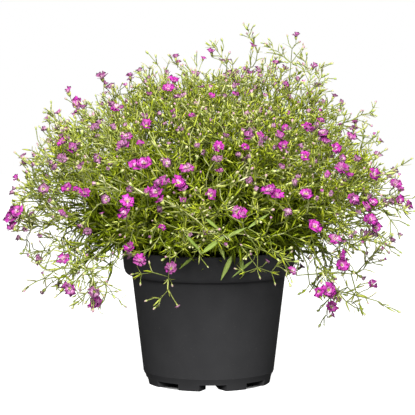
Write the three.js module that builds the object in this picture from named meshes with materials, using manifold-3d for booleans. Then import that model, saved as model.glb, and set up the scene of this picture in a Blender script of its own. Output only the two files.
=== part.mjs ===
// Potted cushion baby's breath: a dense mound of fine flowering sprays in a black plastic nursery pot.
// Millimetres, +Z up. The origin is on the ground, at the centre of the pot's flat bottom.
import * as THREE from "three";
import { mergeVertices } from "three/addons/utils/BufferGeometryUtils.js";
import Module from "manifold-3d";

const wasm = await Module();
wasm.setup();

// Driving dimensions of the pot
const rimRadius = 60;
const potHeight = 94;
const neckRadius = 53.1; // where the wall meets the underside of the collar
const neckHeight = 74.6;
const footRadius = 42.9;
const shoulderHeight = 7.2; // the small step above the foot
const wall = 1.6;
const potSides = 32;
const seatGap = 0.3; // clearance between pieces that touch

// Driving dimensions of the drain channels under the pot
const channelCount = 8;
const channelTurn = 4; // degrees from the front to the first channel
const channelHeight = 4.4;
const channelInner = 12;
const channelWall = 1.4;
const drainRadius = 2.6;
const drainPlace = 25;

// Driving dimensions of the soil
const soilTop = 85;
const soilCrown = 1.5; // how much higher the soil stands in the middle
const soilSides = 16;
const socketRadius = 3.9;
const socketDepth = 9;

// Driving dimensions of the plant
const sprayCount = 30;
const rootSpread = 43; // radius of the ring that the outermost stems rise from
const moundCentre = 108; // height of the point that the mound is round about
const moundRadiusTop = 118;
const moundBulge = 20; // how much further the mound reaches at its widest
const bulgeAngle = 74; // degrees from straight up
const bulgeWidth = 26;
const lowestMean = 107; // how far over the lowest sprays hang, in degrees from straight up
const lowestSides = 12; // further over to the left and right, less to the front and back
const lowestBack = 2;
const discEdge = 1.05; // how far the lowest twigs go beyond the lowest sprays, whose disc has a radius of 1
const bloomRadius = 5;
const stalkWidth = 0.9;
const bladeWidth = 2.6;
const bloomsPerSpray = 6;
const bladesPerSpray = 8;
const budsPerSpray = 2;
const heartSides = 5;
const loneBloomGap = 12.6; // clear distance round a bloom that is a piece of its own

// Large blooms on the near side of the mound: across from the centre, and up from the ground
const largeBlooms = [
  [-132, 117], [-95, 96], [-80, 141], [-52, 138], [-47, 158], [-96, 171], [-56, 172], [-50, 108], [-44, 99],
  [-68, 192], [-94, 198], [-23, 209], [-14, 159], [6, 172], [-32, 143], [-24, 95], [18, 132], [43, 142],
  [93, 137], [106, 122], [123, 136], [73, 179], [86, 156], [81, 111], [87, 93], [-74, 68], [81, 63], [111, 72],
];

// Budding sprigs that stand well out of the mound, given in the same way, above the pot's axis
const tallSprigs = [
  [25, 250], [2, 239], [63, 232], [-44, 228], [115, 192], [-111, 189],
];

const golden = Math.PI * (3 - Math.sqrt(5));
const toRadians = THREE.MathUtils.degToRad;
const up = new THREE.Vector3(0, 0, 1);

// A seeded source of random numbers from 0 to 1
function randomFrom(seed) {
  let state = seed >>> 0;
  return () => {
    state = (state + 0x6d2b79f5) >>> 0;
    let t = Math.imul(state ^ (state >>> 15), 1 | state);
    t = (t + Math.imul(t ^ (t >>> 7), 61 | t)) ^ t;
    return ((t ^ (t >>> 14)) >>> 0) / 4294967296;
  };
}

// Solids from meshes, and back
function solidFrom(points, faces) {
  const made = new wasm.Manifold(
    new wasm.Mesh({
      numProp: 3,
      vertProperties: new Float32Array(points.flatMap((p) => [p.x, p.y, p.z])),
      triVerts: new Uint32Array(faces.flat()),
    }),
  );
  if (made.volume() > 0) return made;
  return solidFrom(points, faces.map(([a, b, c]) => [a, c, b]));
}

function solidOfGeometry(geometry) {
  const bare = geometry.clone();
  bare.deleteAttribute("normal");
  bare.deleteAttribute("uv");
  const merged = mergeVertices(bare, 1e-3);
  const place = merged.getAttribute("position");
  const corners = merged.index.array;
  const points = Array.from({ length: place.count }, (_, i) => new THREE.Vector3().fromBufferAttribute(place, i));
  const faces = [];
  for (let i = 0; i < corners.length; i += 3) {
    const [a, b, c] = corners.slice(i, i + 3);
    if (a !== b && b !== c && a !== c) faces.push([a, b, c]);
  }
  return solidFrom(points, faces);
}

function meshOf(name, solid, material) {
  const data = solid.getMesh();
  const geometry = new THREE.BufferGeometry();
  geometry.setAttribute("position", new THREE.BufferAttribute(data.vertProperties, 3));
  geometry.setIndex(new THREE.BufferAttribute(data.triVerts, 1));
  geometry.computeVertexNormals();
  const mesh = new THREE.Mesh(geometry, material);
  mesh.name = name;
  return mesh;
}

// The triangles between two closed rings of points. A ring of one point is a tip.
function bridge(lower, upper) {
  const faces = [];
  const [n, m] = [lower.length, upper.length];
  let i = 0;
  let j = 0;
  const a = (k) => lower[k % n];
  const b = (k) => upper[k % m];
  while (i < n || j < m) {
    if (j === m || (i < n && (i + 1) / n <= (j + 1) / m)) {
      if (n > 1) faces.push([a(i), a(i + 1), b(j)]);
      i += 1;
    } else {
      if (m > 1) faces.push([a(i), b(j + 1), b(j)]);
      j += 1;
    }
  }
  return faces;
}

// A closed solid through rings of points, from the root to the tip, with flat ends where a ring has an area
function loft(rings) {
  const points = [];
  const numbered = rings.map((ring) => ring.map((point) => points.push(point) - 1));
  const faces = numbered.slice(1).flatMap((ring, k) => bridge(numbered[k], ring));
  const [first, last] = [numbered[0], numbered[numbered.length - 1]];
  for (let k = 1; k < first.length - 1; k += 1) faces.push([first[0], first[k + 1], first[k]]);
  for (let k = 1; k < last.length - 1; k += 1) faces.push([last[0], last[k], last[k + 1]]);
  return solidFrom(points, faces);
}

// A ring of points about an axis. outline gives [distance, height along the axis] for each of count steps.
function ringAt(centre, axis, count, outline, turn = 0) {
  const side = new THREE.Vector3().crossVectors(up, axis);
  if (side.lengthSq() < 1e-4) side.set(1, 0, 0);
  side.normalize();
  const other = new THREE.Vector3().crossVectors(axis, side);
  return Array.from({ length: count }, (_, k) => {
    const angle = turn + (2 * Math.PI * k) / count;
    const [distance, height] = outline(k);
    return centre
      .clone()
      .addScaledVector(side, distance * Math.cos(angle))
      .addScaledVector(other, distance * Math.sin(angle))
      .addScaledVector(axis, height);
  });
}

// The mound: u and v run over a flat disc of radius 1, and s runs along a stem from its root to the mound's skin.
function lowestAngle(around) {
  return toRadians(lowestMean + lowestSides * Math.cos(2 * around) + lowestBack * Math.sin(around));
}

function moundRadius(angle) {
  const off = (THREE.MathUtils.radToDeg(angle) - bulgeAngle) / bulgeWidth;
  return moundRadiusTop + moundBulge * Math.exp(-off * off);
}

function onDome(radius, angle, around) {
  return new THREE.Vector3(
    radius * Math.sin(angle) * Math.cos(around),
    radius * Math.sin(angle) * Math.sin(around),
    moundCentre + radius * Math.cos(angle),
  );
}

function place(s, u, v) {
  const reach = Math.hypot(u, v);
  const around = Math.atan2(v, u);
  const angle = Math.acos(Math.max(-1, 1 - (1 - Math.cos(lowestAngle(around))) * reach * reach));
  const radius = moundRadius(angle);
  const hang = (angle / toRadians(lowestMean + lowestSides)) ** 4; // stems that hang low rise first and then arch over
  const wider = 1 + 0.15 * reach * reach;
  const root = new THREE.Vector3(rootSpread * u, rootSpread * v, soilTop - socketDepth + seatGap);
  const rise = new THREE.Vector3(root.x * wider, root.y * wider, root.z + 44 + 18 * hang);
  const bend = onDome(0.72 * radius, angle - toRadians(22) * hang, around);
  const tip = onDome(radius, angle, around);
  return new THREE.CubicBezierCurve3(root, rise, bend, tip).getPoint(s);
}

// Each spray has its own cell of the disc, so that no two sprays cross.
function cellCentre(i) {
  const reach = Math.sqrt((i + 0.5) / sprayCount);
  return [reach * Math.cos(i * golden), reach * Math.sin(i * golden)];
}
const cells = Array.from({ length: sprayCount }, (_, i) => cellCentre(i));

function nearestCell(u, v) {
  const far = cells.map(([cu, cv]) => Math.hypot(u - cu, v - cv));
  return far.indexOf(Math.min(...far));
}

// Draws a point of the disc back towards the middle of cell i until it is margin inside the cell and the disc.
function inCell(i, u, v, margin) {
  const [cu, cv] = cells[i];
  const far = Math.hypot(u - cu, v - cv);
  const outward = ((u - cu) * cu + (v - cv) * cv) / Math.max(far, 1e-9);
  const toEdge = Math.sqrt(outward ** 2 + discEdge ** 2 - cu ** 2 - cv ** 2) - outward;
  let keep = Math.min(1, toEdge / Math.max(far, 1e-9));
  cells.forEach(([nu, nv], j) => {
    if (j === i) return;
    const apart = Math.hypot(nu - cu, nv - cv);
    const along = ((u - cu) * (nu - cu) + (v - cv) * (nv - cv)) / apart;
    if (along > 1e-9) keep = Math.min(keep, Math.max(0, apart / 2 - margin) / along);
  });
  return [cu + (u - cu) * keep, cv + (v - cv) * keep];
}

// Where a bloom sits and which way it faces
function bloomAt(s, u, v, lean) {
  const centre = place(s, u, v);
  const facing = centre.clone().sub(new THREE.Vector3(0, 0, moundCentre)).normalize();
  facing.addScaledVector(up, 0.35).add(lean).normalize();
  return { s, u, v, centre, facing };
}

// The place in the disc under a direction from the middle of the mound, and the cell that it is in
function underDirection(angle, around) {
  const reach = Math.sqrt((1 - Math.cos(angle)) / (1 - Math.cos(lowestAngle(around))));
  const [u, v] = [reach * Math.cos(around), reach * Math.sin(around)];
  return { u, v, owner: nearestCell(u, v) };
}

// A large bloom is given by where it shows, across and up. This finds the place in the disc under it.
function largeBloom([across, height], number) {
  const random = randomFrom(900 + number);
  let angle = toRadians(bulgeAngle);
  let depth = 0;
  for (let step = 0; step < 30; step += 1) {
    const left = moundRadius(angle) ** 2 - across ** 2 - (height - moundCentre) ** 2;
    depth = -Math.sqrt(Math.max(left, 16));
    angle = Math.atan2(Math.hypot(across, depth), height - moundCentre);
  }
  const under = underDirection(angle, Math.atan2(depth, across));
  const [u, v] = inCell(under.owner, under.u, under.v, 0.05);
  const lean = new THREE.Vector3(random() - 0.5, -0.5, random() - 0.3).multiplyScalar(0.5);
  return { ...bloomAt(1, u, v, lean), owner: under.owner };
}
const large = largeBlooms.map(largeBloom);

// The smaller blooms of spray i, spread over its cell, clear of the large ones
function smallBlooms(i) {
  const random = randomFrom(100 + i);
  const [cu, cv] = cells[i];
  const found = [];
  for (let k = 0; k < bloomsPerSpray; k += 1) {
    const around = k * golden + random();
    const far = 0.17 * Math.sqrt((k + 0.5) / bloomsPerSpray);
    const s = 0.92 + 0.1 * random();
    const lean = new THREE.Vector3(random() - 0.5, random() - 0.5, random() - 0.5).multiplyScalar(0.9);
    const size = 0.8 + 0.25 * random();
    const [u, v] = inCell(i, cu + far * Math.cos(around), cv + far * Math.sin(around), 0.05);
    const bloom = { ...bloomAt(s, u, v, lean), size };
    if (large.every((other) => other.centre.distanceTo(bloom.centre) > loneBloomGap)) found.push(bloom);
  }
  return found;
}

// The slim dense heart of a spray: its main stem with the close inner twigs, from the soil out
const heartRings = [
  [0, 0.03], [0.1, 0.036], [0.28, 0.078], [0.52, 0.09], [0.78, 0.045],
];
function heart(i, random) {
  const [cu, cv] = cells[i];
  const turn = random() * 2;
  const rings = heartRings.map(([s, far], k) =>
    Array.from({ length: heartSides }, (_, j) => {
      const angle = turn + (2 * Math.PI * j) / heartSides;
      const rough = k < 2 ? 1 : 0.8 + 0.4 * random();
      const [u, v] = inCell(i, cu + far * rough * Math.cos(angle), cv + far * rough * Math.sin(angle), 0.03);
      return place(s, u, v);
    }),
  );
  return loft([...rings, [place(0.97, cu, cv)]]);
}

// A narrow leaf, three-sided, pointed at both ends and broadest in the middle, arched between three points
function blade(from, through, to, width) {
  const axis = new THREE.Vector3().subVectors(to, from).normalize();
  const section = (k) => [k === 1 ? width * 0.25 : width * 0.6, 0];
  return loft([[from], ringAt(through, axis, 3, section, -Math.PI / 6), [to]]);
}

function bladesOf(i, random) {
  const [cu, cv] = cells[i];
  return Array.from({ length: bladesPerSpray }, (_, k) => {
    const around = k * golden + random();
    const s = 0.3 + 0.5 * ((k + random()) / bladesPerSpray);
    const reachOut = (far, along, margin) => {
      const [u, v] = inCell(i, cu + far * Math.cos(around), cv + far * Math.sin(around), margin);
      return place(s + along, u, v);
    };
    return blade(reachOut(0, -0.03, 0.02), reachOut(0.12, 0.06, 0.02), reachOut(0.2, 0.16, 0.015), bladeWidth);
  });
}

// A broad leaf that arches over the rim of the pot, on the sprays that stand near it
function leavesOverRim(i, random) {
  const [cu, cv] = cells[i];
  const around = Math.atan2(cv, cu);
  if (Math.hypot(cu, cv) < 0.86) return [];
  const over = (r, turn, z) => new THREE.Vector3(r * Math.cos(around + turn), r * Math.sin(around + turn), z);
  const turn = 0.2 * (random() - 0.5);
  const low = potHeight - 12 + 10 * random();
  return [blade(place(0.24, cu, cv), over(rimRadius + 7, turn, potHeight + 9), over(rimRadius + 14, turn, low), 3.6)];
}

// A stalk from the middle of spray i out to a bloom or bud, pointed at the root and ending in a ring of three
function stalk(i, bloom, end) {
  const root = place(bloom.s - 0.36, ...cells[i]);
  const axis = new THREE.Vector3().subVectors(end, root).normalize();
  return [[root], ringAt(end, axis, 3, () => [stalkWidth, 0])];
}

// A small bloom on its stalk: a cup with five pointed lobes and a dished middle
function stalkBloom(i, bloom) {
  const { centre, facing, size } = bloom;
  const neck = centre.clone().addScaledVector(facing, -3);
  const lobes = (k) => (k % 2 ? [bloomRadius * 0.5 * size, 0.1] : [bloomRadius * size, 0.9]);
  return loft([
    ...stalk(i, bloom, neck),
    ringAt(centre, facing, 10, lobes),
    [centre.clone().addScaledVector(facing, 0.6)],
  ]);
}

// A stalk that ends in the open calyx under a large bloom
function stalkCalyx(i, bloom) {
  const { centre, facing } = bloom;
  const neck = centre.clone().addScaledVector(facing, -3.4);
  return loft([...stalk(i, bloom, neck), ringAt(centre, facing, 5, () => [1.4, -0.6])]);
}

// A closed bud that stands out further than the blooms
function budPlace(i, random, k) {
  const [cu, cv] = cells[i];
  const around = k * Math.PI + random() * 2;
  const [u, v] = inCell(i, cu + 0.12 * Math.cos(around), cv + 0.12 * Math.sin(around), 0.02);
  return bloomAt(1.02 + 0.13 * random() ** 2, u, v, new THREE.Vector3());
}

function tallBud([across, height]) {
  const centre = new THREE.Vector3(across, 0, height);
  const facing = centre.clone().sub(new THREE.Vector3(0, 0, moundCentre)).normalize();
  const { owner } = underDirection(Math.acos(facing.z), across < 0 ? Math.PI : 0);
  return { s: 1.1, centre, facing, owner };
}
const tall = tallSprigs.map(tallBud);

function stalkBud(i, bud) {
  const swell = bud.centre.clone().addScaledVector(bud.facing, 1.6);
  const tip = bud.centre.clone().addScaledVector(bud.facing, 4);
  return loft([...stalk(i, bud, bud.centre), ringAt(swell, bud.facing, 3, () => [1.3, 0]), [tip]]);
}

function spray(i) {
  const random = randomFrom(500 + i);
  const twigs = [
    ...bladesOf(i, random),
    ...leavesOverRim(i, random),
    ...smallBlooms(i).map((bloom) => stalkBloom(i, bloom)),
    ...Array.from({ length: budsPerSpray }, (_, k) => stalkBud(i, budPlace(i, random, k))),
    ...tall.filter((bud) => bud.owner === i).map((bud) => stalkBud(i, bud)),
  ];
  const pieces = [
    heart(i, random),
    ...twigs.filter((twig) => largeHeads.every((head) => twig.minGap(head, 1) > seatGap)),
    ...large.filter((bloom) => bloom.owner === i).map((bloom) => stalkCalyx(i, bloom)),
  ];
  const bodies = wasm.Manifold.union(pieces).simplify(0.05).decompose();
  return bodies.reduce((most, body) => (body.volume() > most.volume() ? body : most));
}

// A large bloom: five broad petals round a raised inner rosette with a hollow middle
function largeBloomHead({ centre, facing }) {
  const petals = (k) => (k % 2 ? [bloomRadius * 0.62, 0.5] : [bloomRadius * 1.04, 1.4]);
  return loft([
    ringAt(centre, facing, 5, () => [1.4, seatGap - 0.6]),
    ringAt(centre, facing, 10, petals),
    ringAt(centre, facing, 5, () => [2, 0.9], 0.3),
    ringAt(centre, facing, 5, () => [2.8, 2.4], 0.6),
    [centre.clone().addScaledVector(facing, 1.4)],
  ]);
}

const largeHeads = large.map(largeBloomHead);

// The pot: an outline turned about the axis, with drain channels pressed up into its floor
function turned(outline, sides) {
  return solidOfGeometry(new THREE.LatheGeometry(outline.map(([r, z]) => new THREE.Vector2(r, z)), sides).rotateX(Math.PI / 2));
}

function channel(k, grow, height, below) {
  const [inner, outer] = [channelInner - grow, footRadius + (grow ? -wall - 1.2 : 4)];
  const halves = [
    [inner, 2.7 + grow], [33, 4.4 + grow], [outer, grow ? 8.6 + grow : 11.8],
  ];
  const edge = [...halves, ...halves.map(([r, w]) => [r, -w]).reverse()];
  const shape = new THREE.Shape(edge.map(([r, w]) => new THREE.Vector2(r, w)));
  const block = new THREE.ExtrudeGeometry(shape, { depth: height + below, bevelEnabled: false });
  block.translate(0, 0, -below);
  return solidOfGeometry(block.rotateZ(toRadians(channelTurn - 90 + (360 / channelCount) * k)));
}

function eachChannel(make) {
  return wasm.Manifold.union(Array.from({ length: channelCount }, (_, k) => make(k)));
}

const innerWall = [
  [footRadius - wall, wall],
  [footRadius + 2.6 - wall, 10],
  [neckRadius - wall, neckHeight + 1.6],
  [rimRadius - 4.6, neckHeight + 4],
  [rimRadius - wall - 0.9, neckHeight + 6],
];

function pot() {
  const outside = [
    [0, 0],
    [footRadius, 0],
    [footRadius + 1, shoulderHeight - 1.4],
    [footRadius + 2, shoulderHeight],
    [footRadius + 2.6, 10],
    [neckRadius, neckHeight],
    [57.4, neckHeight + 2.2],
    [58.8, neckHeight + 5.4],
    [rimRadius - 0.3, potHeight - 4],
    [rimRadius, potHeight - 1],
    [rimRadius - 0.5, potHeight],
    [rimRadius - wall, potHeight],
  ];
  const body = turned([...outside, ...[...innerWall].reverse(), [0, wall]], potSides);
  const ridges = eachChannel((k) => channel(k, channelWall, channelHeight + channelWall, 0));
  const channels = eachChannel((k) => channel(k, 0, channelHeight, 1));
  const drains = eachChannel((k) => {
    const hole = new THREE.CylinderGeometry(drainRadius, drainRadius, 4, 6).rotateX(Math.PI / 2);
    hole.translate(drainPlace, 0, channelHeight + 0.5);
    return solidOfGeometry(hole.rotateZ(toRadians(channelTurn - 90 + (360 / channelCount) * k)));
  });
  return body.add(ridges).subtract(channels).subtract(drains).simplify(0.005);
}

function soil() {
  const side = innerWall.map(([r, z]) => [r - seatGap - 0.2, z + seatGap]);
  const top = soilTop;
  const body = turned(
    [[0, wall + seatGap], ...side, [rimRadius - wall - 1.2, top], [rootSpread * 0.6, top + soilCrown * 0.7], [0, top + soilCrown]],
    soilSides,
  );
  const grooves = eachChannel((k) => channel(k, channelWall + seatGap, channelHeight + channelWall + seatGap, 0));
  const sockets = wasm.Manifold.union(
    cells.map(([u, v]) => {
      const height = socketDepth + 4;
      const hole = new THREE.CylinderGeometry(socketRadius, socketRadius, height, 4).rotateX(Math.PI / 2);
      const stem = place(0.04, u, v);
      return solidOfGeometry(hole.translate(stem.x, stem.y, soilTop - socketDepth + height / 2));
    }),
  );
  return body.subtract(grooves).subtract(sockets).simplify(0.005);
}

const plastic = new THREE.MeshStandardMaterial({ color: 0x1d1d1f, roughness: 0.5, metalness: 0 });
const peat = new THREE.MeshStandardMaterial({ color: 0x2e2118, roughness: 1, metalness: 0 });
const foliage = new THREE.MeshStandardMaterial({ color: 0x7f9a2e, roughness: 0.6, metalness: 0 });
const petals = new THREE.MeshStandardMaterial({ color: 0xc733b4, roughness: 0.6, metalness: 0, side: THREE.DoubleSide });

const twoDigits = (n) => String(n).padStart(2, "0");
const plant = new THREE.Group();
plant.add(meshOf("pot", pot(), plastic), meshOf("soil", soil(), peat));
cells.forEach((_, i) => plant.add(meshOf(`spray_${twoDigits(i + 1)}`, spray(i), foliage)));
largeHeads.forEach((head, k) => plant.add(meshOf(`bloom_${twoDigits(k + 1)}`, head, petals)));

export default plant;
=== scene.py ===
import bmesh
import bpy
import math
from mathutils import Matrix, Vector, noise
from types import SimpleNamespace


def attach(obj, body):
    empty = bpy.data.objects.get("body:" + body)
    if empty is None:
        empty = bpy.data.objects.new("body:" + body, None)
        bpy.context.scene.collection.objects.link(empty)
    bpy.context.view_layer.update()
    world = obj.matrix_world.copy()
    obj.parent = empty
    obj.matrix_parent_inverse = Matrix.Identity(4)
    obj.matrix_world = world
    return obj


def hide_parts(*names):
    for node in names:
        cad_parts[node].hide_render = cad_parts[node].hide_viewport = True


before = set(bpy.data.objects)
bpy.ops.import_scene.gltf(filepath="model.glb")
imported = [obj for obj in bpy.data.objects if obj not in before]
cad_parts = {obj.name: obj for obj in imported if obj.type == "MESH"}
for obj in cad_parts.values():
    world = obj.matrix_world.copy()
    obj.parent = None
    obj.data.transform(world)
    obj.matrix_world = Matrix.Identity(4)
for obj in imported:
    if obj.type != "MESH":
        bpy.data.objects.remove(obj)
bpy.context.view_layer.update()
mm = 0.001
golden = math.pi * (3 - math.sqrt(5))
up = Vector((0, 0, 1))

# Where the camera stands, in front of the pot's axis and above the ground, how high it aims, and its lens
view = {"away": 1617, "height": 289.6, "across": -0.8, "aim": 121.3, "lens": 204.0}

# The mound follows the same rule as the solids: sizes in millimetres, angles in degrees from straight up
mound = {
    "sprays": 30,
    "rootSpread": 43,
    "centre": 108,
    "radiusTop": 118,
    "bulge": 20,
    "bulgeAngle": 74,
    "bulgeWidth": 26,
    "lowestMean": 107,
    "lowestSides": 12,
    "lowestBack": 2,
    "discEdge": 1.05,
    "soilTop": 85,
    "socketDepth": 9,
    "cellMargin": 0.05,
    "bloomClearance": 12.6,
}

# Large blooms on the near side, across from the centre and up from the ground
largeBlooms = [
    [-132, 117], [-95, 96], [-80, 141], [-52, 138], [-47, 158], [-96, 171], [-56, 172], [-50, 108],
    [-44, 99], [-68, 192], [-94, 198], [-23, 209], [-14, 159], [6, 172], [-32, 143], [-24, 95],
    [18, 132], [43, 142], [93, 137], [106, 122], [123, 136], [73, 179], [86, 156], [81, 111],
    [87, 93], [-74, 68], [81, 63], [111, 72],
]

# Budding sprigs that stand well out of the mound: across, up and back from the pot's axis
tallSprigs = [[25, 247, 0], [2, 235, 0], [63, 228, 0], [-44, 214, 0], [115, 189, 0], [-111, 189, 0]]

# Shorter ones between them, which only fill out the top of the mound
moreSprigs = [[38, 234, -24], [50, 224, 22], [80, 214, -14], [64, 216, 26]]


def randomFrom(seed):
    # the same seeded draw as the solids use
    state = [seed & 0xFFFFFFFF]

    def draw():
        state[0] = (state[0] + 0x6D2B79F5) & 0xFFFFFFFF
        a = state[0]
        t = ((a ^ (a >> 15)) * (1 | a)) & 0xFFFFFFFF
        t = (t + (((t ^ (t >> 7)) * (61 | t)) & 0xFFFFFFFF)) & 0xFFFFFFFF ^ t
        return ((t ^ (t >> 14)) & 0xFFFFFFFF) / 4294967296

    return draw


def jitter(draw, size):
    return Vector((draw() - 0.5, draw() - 0.5, draw() - 0.5)) * size


def lowestAngle(around):
    lowest = mound["lowestMean"] + mound["lowestSides"] * math.cos(2 * around)
    return math.radians(lowest + mound["lowestBack"] * math.sin(around))


def moundRadius(angle):
    off = (math.degrees(angle) - mound["bulgeAngle"]) / mound["bulgeWidth"]
    return mound["radiusTop"] + mound["bulge"] * math.exp(-off * off)


def onDome(radius, angle, around):
    flat, rise = radius * math.sin(angle), radius * math.cos(angle)
    return Vector((flat * math.cos(around), flat * math.sin(around), mound["centre"] + rise))


def place(s, u, v):
    # s runs along a stem from its root to the mound's skin, and u and v over a flat disc of radius 1
    reach = math.hypot(u, v)
    around = math.atan2(v, u)
    angle = math.acos(max(-1, 1 - (1 - math.cos(lowestAngle(around))) * reach * reach))
    radius = moundRadius(angle)
    hang = (angle / math.radians(mound["lowestMean"] + mound["lowestSides"])) ** 4
    wider = 1 + 0.15 * reach * reach
    foot = mound["soilTop"] - mound["socketDepth"] + 0.3
    root = Vector((mound["rootSpread"] * u, mound["rootSpread"] * v, foot))
    rise = Vector((root.x * wider, root.y * wider, root.z + 44 + 18 * hang))
    bend = onDome(0.72 * radius, angle - math.radians(22) * hang, around)
    tip = onDome(radius, angle, around)
    r = 1 - s
    return root * r**3 + rise * 3 * r * r * s + bend * 3 * r * s * s + tip * s**3


def sprayCell(i):
    # the place of a spray on that disc
    far = math.sqrt((i + 0.5) / mound["sprays"])
    return far * math.cos(i * golden), far * math.sin(i * golden)


cells = [sprayCell(i) for i in range(mound["sprays"])]


def nearestCell(u, v):
    return min(range(len(cells)), key=lambda i: math.hypot(u - cells[i][0], v - cells[i][1]))


def inCell(i, u, v):
    # a place on the disc drawn in until it lies within the part of the disc that is nearest to spray i
    cu, cv = cells[i]
    far = max(math.hypot(u - cu, v - cv), 1e-9)
    outward = ((u - cu) * cu + (v - cv) * cv) / far
    toEdge = math.sqrt(outward**2 + mound["discEdge"] ** 2 - cu**2 - cv**2) - outward
    keep = min(1, toEdge / far)
    for j, (nu, nv) in enumerate(cells):
        if j == i:
            continue
        apart = math.hypot(nu - cu, nv - cv)
        along = ((u - cu) * (nu - cu) + (v - cv) * (nv - cv)) / apart
        if along > 1e-9:
            keep = min(keep, max(0, apart / 2 - mound["cellMargin"]) / along)
    return cu + (u - cu) * keep, cv + (v - cv) * keep


def bloomAt(s, u, v, lean):
    centre = place(s, u, v)
    facing = (centre - Vector((0, 0, mound["centre"]))).normalized()
    return {"centre": centre, "facing": (facing + up * 0.35 + lean).normalized()}


def largeBloom(number, across, height):
    # the place on the mound's skin where it is as far across and as high as this
    draw = randomFrom(900 + number)
    angle = math.radians(mound["bulgeAngle"])
    depth = 0
    for _ in range(30):
        left = moundRadius(angle) ** 2 - across**2 - (height - mound["centre"]) ** 2
        depth = -math.sqrt(max(left, 16))
        angle = math.atan2(math.hypot(across, depth), height - mound["centre"])
    around = math.atan2(depth, across)
    reach = math.sqrt((1 - math.cos(angle)) / (1 - math.cos(lowestAngle(around))))
    u, v = reach * math.cos(around), reach * math.sin(around)
    u, v = inCell(nearestCell(u, v), u, v)
    lean = Vector((draw() - 0.5, -0.5, draw() - 0.3)) * 0.5
    return bloomAt(1, u, v, lean)


def smallBlooms(i, large):
    draw = randomFrom(100 + i)
    cu, cv = cells[i]
    found = []
    for k in range(6):
        around = k * golden + draw()
        far = 0.17 * math.sqrt((k + 0.5) / 6)
        s = 0.92 + 0.1 * draw()
        lean = jitter(draw, 0.9)
        size = 0.8 + 0.25 * draw()
        u, v = inCell(i, cu + far * math.cos(around), cv + far * math.sin(around))
        bloom = {**bloomAt(s, u, v, lean), "size": size}
        if all((other["centre"] - bloom["centre"]).length > mound["bloomClearance"] for other in large):
            found.append(bloom)
    return found


# What the growing of the plant can be tuned by: lengths in millimetres, lists from the innermost fork out,
# and depths under the mound's skin within which something grows
growth = {
    "seed": 77,
    "stemsPerSpray": 5,
    "moreStemsSides": 2,
    "moreStemsFront": 2,
    "moreStemsTop": 2,
    "stemSpread": 0.17,
    "stemNodes": 11,
    "firstFork": [0.42, 0.58],
    "forkLength": [15, 13, 11.5, 10.5, 9.5, 8.5],
    "forkAngle": 31,
    "forkLoss": 0.2,
    "wander": 0.9,
    "sway": 15,
    "skin": -8,
    "unevenness": 15,
    "leafBase": 21,
    "leafTop": 14,
    "bractLength": [15, 12, 9.5, 7.6, 6.3, 5.3],
    "bractWidth": [0.7, 0.06],
    "stemThickness": [1.0, 0.95, 0.9, 0.84, 0.79, 0.74],
    "stalkLength": [7, 14],
    "stalkThickness": 0.55,
    "longStalk": 16,
    "budShare": 0.4,
    "budSize": [0.8, 1.25],
    "bloomShare": 0.2,
    "droopLeft": 1.1,
    "droopRight": 0.7,
    "strays": 60,
    "strayLength": [30, 64],
    "strayDepth": [12, 34],
    "leafLoss": 0.06,
    "leafLossSides": 0.36,
    "leafLeast": 9,
    "leafPerDepth": 0.36,
    "pairsWithin": 50,
    "shootsForkWithin": 48,
    "budsWithin": 45,
    "bloomsWithin": 26,
    "fadedShare": 0.72,
    "longReach": 9,
    "longShare": 0.14,
    "droopFrom": 0.78,
    "airyFrom": 0.95,
    "farthest": 1.02,
    "stemTones": 0.26,
}

# Soft round bumps as seen from the front: across, up, how wide, and how much they add at their middle.
# First how far the plant stands out of the even mound or falls short of it
outline = [
    (-82, 80, 20, 22), (-130, 86, 18, -20), (-138, 126, 24, 18), (-134, 162, 22, 1), (-88, 206, 16, -4),
    (-50, 216, 20, -3), (-8, 226, 24, -27), (62, 218, 20, 5), (42, 214, 18, 4), (100, 192, 20, -5),
    (130, 160, 24, -13), (131, 104, 23, -27),
]

# The share of stems that stop early, so that the plant is thin there
thinned = [
    (84, 54, 13, 0.7), (110, 192, 18, 0.5), (133, 104, 19, 1.2), (-120, 184, 14, 0.6), (98, 94, 20, 0.4),
    (-90, 63, 16, 0.65), (92, 72, 14, 0.4), (-122, 147, 14, 0.35), (-122, 88, 22, 0.6), (-60, 58, 16, 0.5),
]

# How many more stems grow there than elsewhere
fuller = [
    (-130, 138, 28, 3), (-138, 122, 20, 10), (-30, 178, 24, 2), (-112, 172, 24, 3), (64, 90, 16, 4),
    (32, 200, 24, 2),
]

# The room for growth: its half width and depth and its lowest height, and the pot's rim and front, which it
# keeps off
room = {
    "halfWidth": 139.5,
    "halfDepth": 136,
    "lowest": 52,
    "rimTop": 97,
    "rimRadius": 64,
    "frontTop": 103,
    "frontDepth": -40,
    "frontHalf": 58,
}

# How light foliage is: the least tone, then what the left side (painted light), nearness to the skin (so
# that deep foliage takes painted shade) and chance add to it
paintedShadeToning = {
    "least": 0.06,
    # painted light: how much lighter foliage is made on the left side, where that begins and over how far
    "side": 0.17,
    "paintedLightFrom": -20,
    "paintedLightOver": 110,
    # painted shade: how much lighter foliage near the skin is than foliage deep in the mound, and over what
    # depth
    "skin": 0.36,
    "paintedShadeDepth": 70,
    "chance": 0.58,
}

# Where the sides begin and the stems hang, with stouter twigs and with fewer and broader leaves
flanks = {"from": 85, "over": 45, "hangBelow": 100, "hangOver": 50, "hangBeside": 66}

centre = Vector((0, 0, mound["centre"]))
plant = {"twigs": [], "leaves": [], "rimLeaves": [], "buds": [], "blooms": [], "nodes": []}
shade = {"stem": 0.0}


def pick(draw, span):
    return span[0] + (span[1] - span[0]) * draw()


def clamp(share):
    return min(1, max(0, share))


def swell(at, bumps):
    # what a list of bumps adds up to at a point
    total = 0
    for across, height, wide, amount in bumps:
        total += amount * math.exp(-((at.x - across) ** 2 + (at.z - height) ** 2) / wide**2)
    return total


def skinRadius(at):
    return moundRadius((at - centre).angle(up)) + swell(at, outline)


def beyond(at):
    # how far a point stands out of the mound's skin
    return (at - centre).length - skinRadius(at)


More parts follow.
